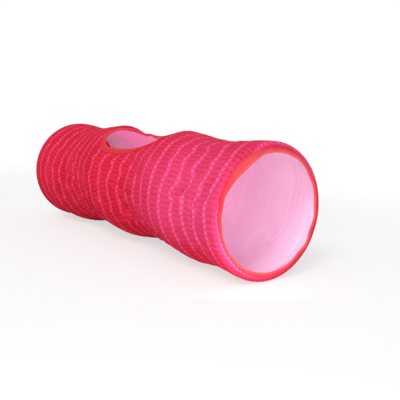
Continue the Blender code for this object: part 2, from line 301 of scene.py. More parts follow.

# %% [markdown]
# Some creases are deep enough to be listed one by one: three slanting ones beside the front mouth,
# a bunch low on the near side, and a few on the back half. Each is a groove along a line on the
# tube, deepest midway.

# %% Creases listed one by one
# Each row: start along X, start angle, end along X, end angle, width, depth
HAND_CREASES = [
    (0.240, 90, 0.300, 66, 0.0055, 0.0060),
    (0.316, 80, 0.371, 57, 0.0050, 0.0076),
    (0.338, 82, 0.370, 68, 0.0045, 0.0040),
    (0.045, 98, 0.102, 136, 0.007, 0.0050),
    (0.030, 120, 0.085, 152, 0.006, 0.0040),
    (0.095, 104, 0.135, 128, 0.006, 0.0036),
    (-0.085, 92, -0.005, 108, 0.006, 0.0038),
    (0.015, 84, 0.080, 92, 0.005, 0.0034),
    (-0.215, 62, -0.120, 84, 0.006, 0.0030),
    (-0.185, 84, -0.085, 102, 0.006, 0.0038),
    (-0.330, 66, -0.250, 92, 0.006, 0.0026),
    (-0.150, 112, -0.075, 126, 0.006, 0.0032),
]


def groove(x, angle, start_x, start_angle, end_x, end_angle, width, depth):
    """A soft groove along a line from one place on the tube to another."""
    first = np.array([start_x, math.radians(start_angle) * COVER_RADIUS])
    step = np.array([end_x, math.radians(end_angle) * COVER_RADIUS]) - first
    across_x = x - first[0]
    across_y = angle * COVER_RADIUS - first[1]
    share = np.clip((across_x * step[0] + across_y * step[1]) / (step @ step), 0, 1)
    away = np.hypot(across_x - share * step[0], across_y - share * step[1])
    return depth * np.exp(-((away / width) ** 2)) * np.sin(math.pi * (0.1 + 0.8 * share))


print("creases placed by hand:", len(HAND_CREASES))

# %% [markdown]
# The cloth is slack round the peephole, because it is cut open there. Its far edge stands up, held
# by the stiff binding, and the cloth behind it hangs lower. Soft dips make that shape, and rises
# where the depth is below 0.

# %% Dips and rises beside the peephole
# Each row: place along X, angle, reach along X, reach in degrees, depth
HOLLOWS = [
    (-0.098, -18, 0.036, 22, 0.0098),
    (-0.052, -18, 0.024, 20, 0.0045),
    (0.004, -18, 0.028, 18, 0.0060),
    (0.046, -7, 0.030, 13, 0.0052),
    (0.012, 12, 0.050, 11, -0.0060),
    (-0.050, 9, 0.034, 10, -0.0068),
    (0.024, 17, 0.030, 9, -0.0046),
    (0.088, 4, 0.040, 18, 0.0036),
    (-0.062, 42, 0.030, 12, 0.0026),
]


def hollow(x, angle, place, at_angle, reach, reach_angle, depth):
    """A soft dip of the cut cloth, or a rise where its depth is below 0."""
    away = np.hypot((x - place) / reach, (np.degrees(wrapped(angle)) - at_angle) / reach_angle)
    return depth * np.exp(-(away**2))


print("dips and rises placed by hand:", len(HOLLOWS))

# %% [markdown]
# All of the folds are added up in one place, so that the lining, the tapes and the stitches can
# follow the same ones. They die out at the hoops. They are calmer on top, where the cloth lies
# over the wire, and at the peephole, where the binding holds it. The creases and dips listed one
# by one stop at the wire, which holds the cloth tight.

# %% All the folds of the cover
HOOP_FADE = 0.030
PLEAT_DEPTH = 1.1 * MM
SLANTING_DEPTH = 3.8 * MM
LEANING_DEPTH = 3.4 * MM
CREASE_WIDTH = 0.16
RUMPLE_DEPTH = 0.8 * MM
FINE_DEPTH = 0.26 * MM
FINE_DEPTH_EVERYWHERE = 0.12 * MM
CALM_ON_TOP = 0.65
EDGE_SHARE = 0.10  # what is left of the folds at the peephole's binding
EDGE_START = 12 * MM
EDGE_FADE = 30 * MM


def off_hoop(x):
    """0 where the body meets a hoop's collar, growing to 1 a little way in."""
    return smooth((BODY_END - np.abs(x)) / HOOP_FADE)


def slack(x, angle):
    """0 where the wire holds the cloth tight, growing to about 1 midway between."""
    return np.clip(drawn_in(x, angle) / SAG, 0, 1.2) ** 0.6 * off_hoop(x)


def from_wire(x, angle):
    """Distance along X to the nearest pass of the wire."""
    start, end = span_at(x, angle)
    return np.minimum(x - start, end - x)


def free(x, angle):
    """0 on the wire and 1 a little way off it, so that a crease stops at the wire."""
    away = smooth((from_wire(x, angle) - 3 * MM) / (14 * MM))
    return away * smooth((BODY_END - np.abs(x)) / (12 * MM))


def cover_folds(x, angle):
    """How far folds push the cover inwards, on top of the sag."""
    patches = smooth(0.5 + ripple(x, angle, 23, (0.09, 0.2), (0, 180)) * 0.5)
    slanting = crease_lines(ripple(x, angle, 37, (0.05, 0.11), (20, 75)), CREASE_WIDTH)
    leaning = crease_lines(ripple(x, angle, 41, (0.05, 0.11), (105, 160)), CREASE_WIDTH)
    fine = ripple(x, angle, 53, (0.012, 0.028), (0, 180), 24)
    folds = PLEAT_DEPTH * pleats(x, angle)
    folds += SLANTING_DEPTH * patches * slanting + LEANING_DEPTH * (1 - patches) * leaning
    folds += RUMPLE_DEPTH * ripple(x, angle, 59, (0.020, 0.045), (0, 180), 20)
    folds += FINE_DEPTH * fine
    folds *= 1 - CALM_ON_TOP * np.clip(np.cos(angle), 0, 1) ** 2
    off_edge = smooth((from_peephole(x, angle) - EDGE_START) / EDGE_FADE)
    folds *= EDGE_SHARE + (1 - EDGE_SHARE) * off_edge
    placed = sum(groove(x, angle, *row) for row in HAND_CREASES)
    placed = placed + sum(hollow(x, angle, *row) for row in HOLLOWS)
    everywhere = FINE_DEPTH_EVERYWHERE * fine * off_hoop(x)
    return folds * slack(x, angle) + placed * free(x, angle) + everywhere


rows_x, rows_angle = np.meshgrid(np.linspace(-0.3, 0.3, 60), np.linspace(0, 6, 60))
sample = cover_folds(rows_x, rows_angle) * 1000
print(f"folds from {sample.min():.1f} to {sample.max():.1f} mm")

# %% [markdown]
# ## The mouths' section
# At each mouth the cloth rolls over the hoop and turns in by about 18 mm, where a red binding
# covers its raw edge. The section is drawn once, as places beyond the body and drops below the
# crest, and a smooth curve is run through them. The back mouth uses the same section mirrored.
# Sewn by hand, it turns in more at one angle than at another, and its edge waves a little.

# %% Sections of the cloth at a mouth
COVER_THICKNESS = 0.8 * MM
LINING_THICKNESS = 0.5 * MM
LINING_AT_HOOP = 6.6 * MM  # the lining passes inside the crimped sleeve here
CREST_END = 0.38645
# Place along X and drop below the crest
COVER_MOUTH = [
    (BODY_END, 0.0), (0.3785, 0.0), (0.3825, 0.0001), (0.3858, 0.0012), (0.3885, 0.0037),
    (0.3906, 0.0072), (0.3921, 0.0118), (0.3930, 0.0175),
]
LINING_MOUTH = [
    (BODY_END, 0.0), (0.3785, 0.0), (0.3825, 0.0001), (0.3853, 0.0008), (0.3874, 0.0024),
    (0.3893, 0.0052), (0.3907, 0.0082), (0.3919, 0.0110),
]
MOUTH_DROP = COVER_MOUTH[-1][1]
CURVE_STEPS = 12


def curve_through(points, count):
    """Evenly spaced points on a smooth curve through the given ones."""
    points = np.array(points, float)
    ends = [2 * points[0] - points[1], *points, 2 * points[-1] - points[-2]]
    fine = []
    for a, b, c, d in zip(ends, ends[1:], ends[2:], ends[3:]):
        t = np.linspace(0, 1, CURVE_STEPS, endpoint=False)[:, None]
        slope_in = (c - a) / 2
        slope_out = (d - b) / 2
        fine.append(
            b * (2 * t**3 - 3 * t**2 + 1) + slope_in * (t**3 - 2 * t**2 + t)
            + c * (3 * t**2 - 2 * t**3) + slope_out * (t**3 - t**2)
        )
    fine = np.concatenate([*fine, points[-1:]])
    length = np.concatenate([[0], np.cumsum(np.linalg.norm(np.diff(fine, axis=0), axis=1))])
    even = np.linspace(0, length[-1], count)
    return np.stack([np.interp(even, length, fine[:, k]) for k in range(2)], 1), even


# %% How a mouth's edge varies round it
# Each row: how much more it turns in, at which angle, over which reach
TURNED_IN = [(-0.22, 95, 48), (-0.13, -50, 26), (0.26, 37, 20)]
WAVE_HEIGHT = 0.7 * MM
WAVE_PLACE = 0.4  # any place along X, other at the back than at the front


def turned_in(angle):
    """How far the cloth turns in at a mouth, as a share of the section's drop."""
    return 1 + humps(np.degrees(angle), TURNED_IN)


def mouth_waves(angle, side):
    """The small gathers along a mouth's edge, in metres."""
    here = np.full_like(angle, side * WAVE_PLACE)
    return WAVE_HEIGHT * ripple(here, angle, 61, (0.03, 0.09), (60, 120))


_, section_lengths = curve_through(COVER_MOUTH, 20)
print(f"the cover turns in over {section_lengths[-1] * 1000:.0f} mm of cloth at a mouth")

# %% [markdown]
# ## From flat places to the tunnel's surface
# Every piece of cloth asks one function where it lies. It takes a place along X, an angle, how
# far the mouth's section has dropped, and a depth below the cover's face. It subtracts the sag
# and the folds, and lets the cloth rest flat on the floor instead of passing through it.

# %% The cover's surface


def cloth_point(x, angle, drop=0.0, depth=0.0):
    """Points in metres of cloth at flat places, at a depth below the cover's outer face."""
    radius = COVER_RADIUS - drop - depth - drawn_in(x, angle) - cover_folds(x, angle)
    height = AXIS_HEIGHT + bowed(x) + radius * np.cos(angle)
    on_floor = np.maximum(height, depth)
    return np.stack([x, -radius * np.sin(angle), on_floor], -1)


top_middle = cloth_point(middle, middle - 0.3)[0]
print(f"the cloth beside the peephole lies {top_middle[2] * 1000:.0f} mm above the floor")

# %% [markdown]
# The lining hangs a few millimetres inside the cover, on its own shallow folds, and only a deep
# fold of the cover pushes it further in. It bulges over the wire, passes inside the crimped
# sleeves at the hoops, and is sewn to the cover round the peephole.

# %% The lining's depth below the cover
OVER_WIRE = 4.0 * MM
HANGING = 2.6 * MM
HANGING_WHERE_SLACK = 3.0 * MM
LINING_FOLD = 0.9 * MM
LINING_CREASE = 1.4 * MM
LINING_CREASE_WIDTH = 0.22
LEAST_GAP = 1.6 * MM
SOFTNESS = 1.0 * MM
SEWN_DEPTH = 1.2 * MM
SEWN_REACH = 22 * MM


def near_hoop(x):
    """0 along most of the body, growing to 1 before it meets a hoop's collar."""
    return smooth((np.abs(x) - (BODY_END - 40 * MM)) / HOOP_FADE)


def lining_depth(x, angle):
    """Depth of the lining's outer face."""
    own_field = ripple(x, angle, 71, (0.05, 0.12), (0, 40))
    own_folds = LINING_FOLD * own_field
    own_folds += LINING_CREASE * crease_lines(own_field, LINING_CREASE_WIDTH)
    hanging = HANGING + slack(x, angle) * (HANGING_WHERE_SLACK + own_folds)
    folds = cover_folds(x, angle)
    pushed = folds + LEAST_GAP
    further_in = SOFTNESS * np.logaddexp(pushed / SOFTNESS, hanging / SOFTNESS)
    off_wire = smooth((from_wire(x, angle) - 4 * MM) / (10 * MM))
    depth = OVER_WIRE + (further_in - folds - OVER_WIRE) * off_wire
    depth = depth + (LINING_AT_HOOP - depth) * near_hoop(x)
    return SEWN_DEPTH + (depth - SEWN_DEPTH) * smooth(from_peephole(x, angle) / SEWN_REACH)


print(f"the lining lies {lining_depth(middle, middle + 3)[0] * 1000:.1f} mm below the cover")

# %% [markdown]
# ## Helpers for meshes
# The sleeves are grids of square faces. The grid closes on itself round the tunnel, and the
# weave's coordinates are stored on the faces' corners, so that the count of cells can jump where
# the grid closes without smearing. The coordinates stay on the cloth when it moves.

# %% Turn points into a piece
pieces_made = {}


def add_object(name, data):
    made = bpy.data.objects.new(name, data)
    bpy.context.scene.collection.objects.link(made)
    return made


def keep_piece(name, mesh):
    """A smooth mesh object, kept among the pieces made."""
    mesh.shade_smooth()
    piece = add_object(name, mesh)
    pieces_made[name] = piece
    return piece


def add_piece(name, points, faces, material):
    """Makes a piece from its points and faces."""
    mesh = bpy.data.meshes.new(name)
    points = np.asarray(points, float).reshape(-1, 3)
    mesh.from_pydata(points.tolist(), [], np.asarray(faces).tolist())
    mesh.materials.append(material)
    return keep_piece(name, mesh)


def store(piece, name, domain, values):
    """Keeps a row of three numbers on each point or each face corner."""
    layer = piece.data.attributes.new(name, "FLOAT_VECTOR", domain)
    layer.data.foreach_set("vector", np.ascontiguousarray(values, np.float32).ravel())


def store_places(piece, weave, points, domain="POINT"):
    """Keeps what a finish reads: places in the weave, and the points as they are at rest."""
    store(piece, "weave", domain, weave)
    store(piece, "rest_place", "POINT", points)


def grid_faces(rows, columns, skip=None):
    """Row and column of each face's corners, for a grid that closes in its columns."""
    i, j = np.meshgrid(np.arange(rows - 1), np.arange(columns), indexing="ij")
    kept = np.ones(i.shape, bool)
    if skip:
        first_row, last_row, first_column, last_column = skip
        inside = (i >= first_row) & (i < last_row) & (j >= first_column) & (j < last_column)
        kept &= ~inside
    i = i[kept]
    j = j[kept]
    return np.stack([i, i, i + 1, i + 1], 1), np.stack([j, j + 1, j + 1, j], 1)


print("faces in a small tube of 3 rows and 4 columns:", len(grid_faces(3, 4)[0]))

# %% [markdown]
# Cloth needs a real thickness, because it is seen from both sides at its cut edges. Solidify
# gives it, and the result is applied, so that each piece is a plain mesh.

# %% Give a sheet its thickness


def applied(made):
    """The mesh of an object as its modifiers or its bevel leave it."""
    graph = bpy.context.evaluated_depsgraph_get()
    return bpy.data.meshes.new_from_object(made.evaluated_get(graph))


def thicken(piece, thickness):
    """Grows a sheet inwards from its outer face and applies the result."""
    solidify = piece.modifiers.new("Cloth", "SOLIDIFY")
    solidify.thickness = thickness
    solidify.offset = -1
    solidify.use_quality_normals = True
    mesh = applied(piece)
    piece.modifiers.clear()
    old = piece.data
    piece.data = mesh
    bpy.data.meshes.remove(old)
    mesh.name = piece.name


print(f"cover {COVER_THICKNESS * 1000:.1f} mm thick, lining {LINING_THICKNESS * 1000:.1f} mm")

# %% [markdown]
# A sleeve with a hole is harder than a plain tube, because the cut edge has to be smooth. A
# Boolean would leave slivers along it. Here a block of the grid is left out round the hole, and
# rings of faces lead from the block's border to the outline, one point to one point.

# %% Rings of faces round the peephole
HOLE_RINGS = 9
HOLE_MARGIN = 14 * MM


def hole_block(xs, angles):
    """First and last row and column of the block of the grid that holds the peephole."""
    turns = np.linspace(0, FULL_TURN, OUTLINE_STEPS)
    edge_x, edge_angle = peephole_point(turns, HOLE_MARGIN)
    rows = np.searchsorted(xs, [edge_x.min(), edge_x.max()])
    columns = np.searchsorted(angles, [edge_angle.min(), edge_angle.max()])
    return rows[0] - 1, rows[1], columns[0] - 1, columns[1]


def block_border(block):
    """Rows and columns of the points round the block, in order."""
    top, bottom, left, right = block
    border = [(top, j) for j in range(left, right)]
    border += [(i, right) for i in range(top, bottom)]
    border += [(bottom, j) for j in range(right, left, -1)]
    border += [(i, left) for i in range(bottom, top, -1)]
    return np.array(border)


def ring_patch(xs, angles, block, first_index):
    """Flat places and faces of the rings between the block's border and the outline."""
    border = block_border(block)
    outer = np.stack([xs[border[:, 0]], angles[border[:, 1]]], 1)
    turn = np.arctan2((outer[:, 1] - PEEPHOLE_TURN) * COVER_RADIUS / PEEPHOLE_WIDTH,
                      (outer[:, 0] - PEEPHOLE_PLACE) / PEEPHOLE_LENGTH)
    inner = np.stack(peephole_point(turn), 1)
    count = len(border)
    here = np.arange(count)
    following = (here + 1) % count
    flat = [outer + (inner - outer) * (ring / HOLE_RINGS) for ring in range(HOLE_RINGS + 1)]
    index = [border[:, 0] * (len(angles) - 1) + border[:, 1]]
    index += [first_index + ring * count + here for ring in range(HOLE_RINGS)]

    def squares(rings):
        return np.concatenate([
            np.stack([ring[here], ring[following], nearer[following], nearer[here]], 1)
            for ring, nearer in zip(rings, rings[1:])
        ])

    return np.concatenate(flat[1:]), squares(index), squares(flat)


print(f"{HOLE_RINGS} rings of faces lead to the peephole's edge")

# %% A sleeve, with or without the peephole


def sleeve(name, xs, drops, lengths, columns, place, weave, material, hole=False):
    """A sleeve from flat places. place gives its points and weave its cell coordinates."""
    angles = np.linspace(-math.pi, math.pi, columns + 1)
    block = hole_block(xs, angles) if hole else None
    rows_of, columns_of = grid_faces(len(xs), columns, block)
    faces = rows_of * columns + columns_of % columns
    grid_x, grid_angle = np.meshgrid(xs, angles[:-1], indexing="ij")
    grid_drop = np.repeat(drops[:, None], columns, 1)
    flat = np.stack([grid_x.ravel(), grid_angle.ravel(), grid_drop.ravel()], 1)
    corner_flat = np.stack([xs[rows_of], angles[columns_of], lengths[rows_of]], -1)
    if hole:
        extra, extra_faces, extra_corners = ring_patch(xs, angles, block, len(flat))
        flat = np.concatenate([flat, np.pad(extra, ((0, 0), (0, 1)))])
        faces = np.concatenate([faces, extra_faces])
        along = np.interp(extra_corners[..., 0], xs, lengths)[..., None]
        extra_flat = np.concatenate([extra_corners, along], -1)
        corner_flat = np.concatenate([corner_flat, extra_flat])
    used, faces = np.unique(faces, return_inverse=True)
    points = place(*flat[used].T)
    piece = add_piece(name, points, faces.reshape(-1, 4), material)
    store_places(piece, weave(*corner_flat.reshape(-1, 3).T), points, "CORNER")
    return piece


# %% [markdown]
# ## Helpers for finishes
# Each finish is a small tree of nodes round one Principled shader. The helpers below add a node
# and wire its inputs in one call, so that a finish reads from top to bottom like a recipe.

# %% Build a tree of nodes


def new_finish(name, roughness, metallic=0.0, specular=0.5):
    material = bpy.data.materials.new(name)
    material.use_nodes = True
    shader = material.node_tree.nodes["Principled BSDF"]
    shader.inputs["Roughness"].default_value = roughness
    shader.inputs["Metallic"].default_value = metallic
    shader.inputs["Specular IOR Level"].default_value = specular
    return material, material.node_tree, shader


def node(tree, kind, inputs=None, **settings):
    """Adds a node, sets it up and wires its inputs, given by name or number."""
    made = tree.nodes.new(kind)
    for key, value in settings.items():
        setattr(made, key, value)
    for key, value in (inputs or {}).items():
        if isinstance(value, bpy.types.NodeSocket):
            tree.links.new(value, made.inputs[key])
        else:
            made.inputs[key].default_value = value
    return made


def stored(tree, name):
    """One of the rows of three numbers that a piece keeps."""
    return node(tree, "ShaderNodeAttribute", attribute_name=name).outputs["Vector"]


def axes(tree, vector):
    return node(tree, "ShaderNodeSeparateXYZ", {0: vector}).outputs[:]


# %% Sums and noise in nodes


def maths(tree, operation, *values):
    return node(tree, "ShaderNodeMath", dict(enumerate(values)), operation=operation).outputs[0]


def times(tree, product, *others):
    """Multiplies values."""
    for other in others:
        product = maths(tree, "MULTIPLY", product, other)
    return product


def spread(tree, value, low, high, to_low=0.0, to_high=1.0):
    """Maps a value from one range to another with soft ends."""
    made = node(tree, "ShaderNodeMapRange", {0: value, 1: low, 2: high, 3: to_low, 4: to_high},
                interpolation_type="SMOOTHSTEP")
    return made.outputs[0]


def band(tree, value, width, softness):
    """1 in a band round the middle of each whole cell of a value, 0 outside it."""
    rise = maths(tree, "PINGPONG", value, 0.5)
    edge = 0.5 - width / 2
    return spread(tree, rise, edge - softness, edge + softness)


def wave(tree, value, count):
    """A sine that repeats so many times for each whole step of a value."""
    return maths(tree, "SINE", times(tree, value, count * FULL_TURN))


def noise(tree, place, scale, detail=2.0, roughness=0.5):
    made = node(tree, "ShaderNodeTexNoise",
                {"Vector": place, "Scale": scale, "Detail": detail, "Roughness": roughness})
    return made.outputs[0]


# %% Colours in layers


def blend_colours(tree, share, first, second):
    """Mixes two colours, each a socket or three numbers."""
    first, second = [colour if isinstance(colour, bpy.types.NodeSocket) else (*colour, 1)
                     for colour in (first, second)]
    made = node(tree, "ShaderNodeMix", {0: share, 6: first, 7: second}, data_type="RGBA")
    return made.outputs[2]


def painted(tree, colour, layers):
    """Lays tones over a colour in order. Each layer: how much of it, and its tone."""
    for share, tone in layers:
        colour = blend_colours(tree, share, colour, tone)
    return colour


def finish_with(tree, shader, colour, height, distance, strength):
    """Wires a colour, and a height in shares of a distance, into the shader."""
    tree.links.new(colour, shader.inputs["Base Color"])
    bump = node(tree, "ShaderNodeBump",
                {"Strength": strength, "Distance": distance, "Height": height})
    tree.links.new(bump.outputs[0], shader.inputs["Normal"])


# %% [markdown]
# ## The cover's weave
# The cover is a coarse woven cloth. Dark crimson squares repeat every nine millimetres along the
# tunnel, in rows ten millimetres apart, and every 36 mm a hot pink line with bright beads runs
# round it. The squares and lines follow stored cell coordinates, so they bend with the folds.
# Loose cloth lets the lines wander, and near the front mouth they are pulled well askew, by a
# short table of shifts.

# %% Cell coordinates of the weave
CELLS_ROUND = 152
LINE_EVERY = 8
CELL = 35.8 * MM / LINE_EVERY
FIRST_LINE = 0.363
# How far the lines are pulled towards the front mouth, in mm. One row for each place along X,
# one column for each angle in degrees
PULL_PLACES = [0.10, 0.17, 0.27, 0.35]
PULL_ANGLES = [-70, -30, 0, 10, 20, 30, 40, 60, 80, 105]
PULLED = [
    [0, 0, 0, 0, 0, 0, 0, 0, 0, 0],
    [0, -6, -8, -8, -8, -7, -4, -3, 1, 0],
    [0, -12, -18, -19, -19, -12, -8, 4, -9, 0],
    [0, -9, -12, -10, -3, 3, 11, 11, -3, 0],
]
LAST_ROW = 2.999  # just before the table's last row, so that there is always one after


def pulled(x, angle):
    """How far the cloth lies towards the front mouth, read from the table above."""
    degrees = np.degrees(wrapped(angle))
    columns = np.stack([np.interp(degrees, PULL_ANGLES, row) for row in PULLED])
    place = np.clip(np.interp(x, PULL_PLACES, range(len(PULLED))), 0, LAST_ROW)
    before = place.astype(int)
    first = np.take_along_axis(columns, before[None], 0)[0]
    second = np.take_along_axis(columns, before[None] + 1, 0)[0]
    return MM * (first + (second - first) * smooth(place - before))


def weave_cells(x, angle, length):
    """Cells round, cells along, and how loosely the cloth is held at a place."""
    loose = slack(x, angle)
    shift = 4.0 * MM * loose * pleats(x, angle)
    shift += 3.0 * MM * loose * ripple(x, angle, 83, (0.05, 0.12), (30, 150))
    shift += 1.4 * MM * ripple(x, angle, 89, (0.12, 0.3), (40, 140))
    back_half = smooth((0.16 - x) / 0.20) * (1 - 0.6 * np.clip(np.cos(angle + 0.4), 0, 1))
    shift += 1.5 * MM * back_half * ripple(x, angle, 97, (0.022, 0.05), (50, 130))
    shift = shift * off_hoop(x) - pulled(x, angle)
    along = (FIRST_LINE - length - shift) / CELL + LINE_EVERY / 2
    around = (angle + math.pi) / FULL_TURN * CELLS_ROUND
    return np.stack([around, along, loose], 1)


print(f"{CELLS_ROUND} cells round the tunnel, each {CELL * 1000:.1f} mm along it")

# %% [markdown]
# The pattern is made of bands across the cells: a line, its beads, the dark squares and the paler
# rows between them. Each tone is given twice, plain and with painted light, because the cloth is
# lit pinker towards the front mouth; the painted light is weaker on top and near the floor. Worn
# patches break the beads and squares up. Close up, single threads show as a fine over and under
# relief, with the squares sunk and the beads raised.

# %% The pattern of the weave
# Width and softness of each band, as shares of its cell
LINE_BAND = (0.24, 0.06)
BEAD_BANDS = (0.54, 0.11), (0.20, 0.05)
SQUARE_BANDS = (0.46, 0.10), (0.58, 0.12)
PALE_ROW_BAND = (0.30, 0.10)
COLUMN_LEFT = 0.15  # what is left of the squares' tone between their columns


def weave_pattern(tree, around, along, worn):
    """How much line, bead, dark square and pale row there is at a place."""
    pair = times(tree, around, 0.5)
    pair_along = maths(tree, "MULTIPLY_ADD", along, 0.5, 0.5)
    lines = maths(tree, "DIVIDE", along, float(LINE_EVERY))
    line = band(tree, lines, *LINE_BAND)
    bead = times(tree, band(tree, pair, *BEAD_BANDS[0]), band(tree, lines, *BEAD_BANDS[1]),
                 spread(tree, worn, 0.35, 0.62, 0.55, 1.0))
    columns = band(tree, pair_along, *SQUARE_BANDS[1])
    square = times(tree, band(tree, pair, *SQUARE_BANDS[0]),
                   maths(tree, "MULTIPLY_ADD", columns, 1 - COLUMN_LEFT, COLUMN_LEFT),
                   maths(tree, "SUBTRACT", 1.0, line),
                   spread(tree, worn, 0.3, 0.65, 0.62, 0.30))
    pale_row = band(tree, maths(tree, "ADD", pair, 0.5), *PALE_ROW_BAND)
    return line, bead, square, pale_row


def painted_front_light(tree, place):
    """Share of painted light, pinker: more towards the front, less on top and near the floor."""
    x, _, height = axes(tree, place)
    return times(tree, spread(tree, x, 0.01, 0.29), spread(tree, height, 0.17, 0.25, 1.0, 0.40),
                 spread(tree, height, 0.03, 0.11, 0.25, 1.0))


# %% The woven cover's finish
# Each tone as it is at the back, and with the painted light it has towards the front mouth
GROUND = (0.82, 0.028, 0.070), (0.89, 0.078, 0.220)
# The deeper ground is partly the cloth's own uneven tone and partly painted shade of small wrinkles
SHADED_DEEP_GROUND = (0.70, 0.019, 0.047), (0.81, 0.060, 0.170)
PALE_ROW = (0.89, 0.046, 0.100), (0.92, 0.098, 0.245)
SQUARE = (0.54, 0.008, 0.032), (0.70, 0.028, 0.105)
LINE = (0.92, 0.050, 0.145), (0.97, 0.094, 0.300)
BEAD = (1.0, 0.118, 0.290), (1.0, 0.200, 0.490)
SPECKLE = (0.66, 0.012, 0.048), (0.74, 0.026, 0.090)
THREADS_IN_CELL = 7
COVER_RELIEF = 0.35 * MM


def make_cover_finish():
    material, tree, shader = new_finish("cover_weave_finish", 0.88, specular=0.02)
    around, along, _ = axes(tree, stored(tree, "weave"))
    place = stored(tree, "rest_place")
    worn = noise(tree, place, 34.0)
    line, bead, square, pale_row = weave_pattern(tree, around, along, worn)
    # Painted light: the tones turn pinker towards the front mouth, less so on top and near the
    # floor
    front_light_share = painted_front_light(tree, place)

    def with_front_light(tone):
        return blend_colours(tree, front_light_share, *tone)

    # Random patches of the deeper ground: uneven tone, and painted shade in place of small
    # wrinkles' shadows
    patchy_tone_and_shade = spread(tree, noise(tree, place, 18.0, 3.0), 0.35, 0.65)
    speckle = spread(tree, noise(tree, place, 420.0), 0.3, 0.7, 0.0, 0.32)
    colour = painted(tree, blend_colours(tree, patchy_tone_and_shade, with_front_light(GROUND), with_front_light(SHADED_DEEP_GROUND)), [
        (times(tree, pale_row, 0.35), with_front_light(PALE_ROW)),
        (square, with_front_light(SQUARE)),
        (times(tree, line, 0.68), with_front_light(LINE)),
        (times(tree, bead, 0.95), with_front_light(BEAD)),
        (speckle, with_front_light(SPECKLE)),
    ])
    threads = times(tree, wave(tree, around, THREADS_IN_CELL), wave(tree, along, THREADS_IN_CELL))
    raised = maths(tree, "ADD", times(tree, threads, 0.35), times(tree, bead, 1.2))
    raised = maths(tree, "SUBTRACT", raised, times(tree, square, 0.8))
    finish_with(tree, shader, colour, raised, COVER_RELIEF, 0.7)
    return material


cover_finish = make_cover_finish()
print("nodes in the cover's finish:", len(cover_finish.node_tree.nodes))

# %% [markdown]
# ## The lining's finish
# The lining is thin, smooth pink nylon with a faint grid of threads. Two seams run beside the wire,
# where its tape is sewn on, so the third number stored on the lining is its distance from the wire.
# Painted highlights, paler slanting streaks, stand in for light on the lining's folds.

# %% The lining's finish
SEAM_FROM_WIRE = 6.6 * MM
SEAM_EDGES = (0.4 * MM, 1.6 * MM)
# Painted highlights on the lining's folds: how their streaks are stretched, and their tone
FOLD_HIGHLIGHT_STRETCH = (0.05, 0.20, 0.0)
NYLON = (0.88, 0.60, 0.76)
DEEPER_NYLON = (0.85, 0.53, 0.71)
FOLD_HIGHLIGHT = (0.96, 0.68, 0.85)
SEAM = (0.62, 0.30, 0.48)
THREAD = (0.97, 0.68, 0.84)


def lining_cells(x, angle, length):
    """Cells round and along, and the distance to the nearest wire."""
    cells = weave_cells(x, angle, length)
    cells[:, 2] = from_wire(x, angle)
    return cells


def make_lining_finish():
    material, tree, shader = new_finish("lining_finish", 0.50, specular=0.15)
    cells = stored(tree, "weave")
    around, along, to_wire = axes(tree, cells)
    place = stored(tree, "rest_place")
    highlight_place = node(tree, "ShaderNodeVectorMath", {0: cells, 1: FOLD_HIGHLIGHT_STRETCH},
                     operation="MULTIPLY")
    # Painted highlights: paler slanting streaks in place of light on the lining's folds
    fold_highlights = spread(tree, noise(tree, highlight_place.outputs[0], 1.0, 3.0, 0.6), 0.46, 0.70)
    to_seam = maths(tree, "ABSOLUTE", maths(tree, "SUBTRACT", to_wire, SEAM_FROM_WIRE))
    seam = spread(tree, to_seam, *SEAM_EDGES, 1.0, 0.0)
    grid = maths(tree, "MAXIMUM", band(tree, around, 0.12, 0.04), band(tree, along, 0.12, 0.04))
    soft = noise(tree, place, 22.0, 4.0)
    colour = painted(tree, blend_colours(tree, soft, NYLON, DEEPER_NYLON), [
        (times(tree, fold_highlights, 0.45), FOLD_HIGHLIGHT),
        (times(tree, seam, 0.35), SEAM),
        (times(tree, grid, 0.10), THREAD),
    ])
    creases = noise(tree, place, 60.0, 5.0, 0.6)
    raised = maths(tree, "ADD", times(tree, creases, 1.5), times(tree, grid, 0.2))
    finish_with(tree, shader, colour, raised, 0.5 * MM, 0.5)
    return material


lining_finish = make_lining_finish()
print("nodes in the lining's finish:", len(lining_finish.node_tree.nodes))

# %% [markdown]
# ## The tapes' finish
# The bindings are a scarlet ribbed tape, redder and flatter than the cover. Painted shade darkens
# the tape between its ribs and along its outer edge, where it meets the cover, and a painted
# highlight makes it paler along its fold. More painted shade deepens it away from the front mouth,
# and painted light makes it paler at the top of that mouth. The hidden tapes are pink.

# %% The tapes' finish
RIBS_PER_METRE = 900
# Share of the tape's colour left in the painted shade between its ribs
RIB_SHADE_SHARE = 0.72
# How much of each channel the painted shade keeps
PAINTED_SHADE_SHARES = (0.78, 0.4, 0.5)


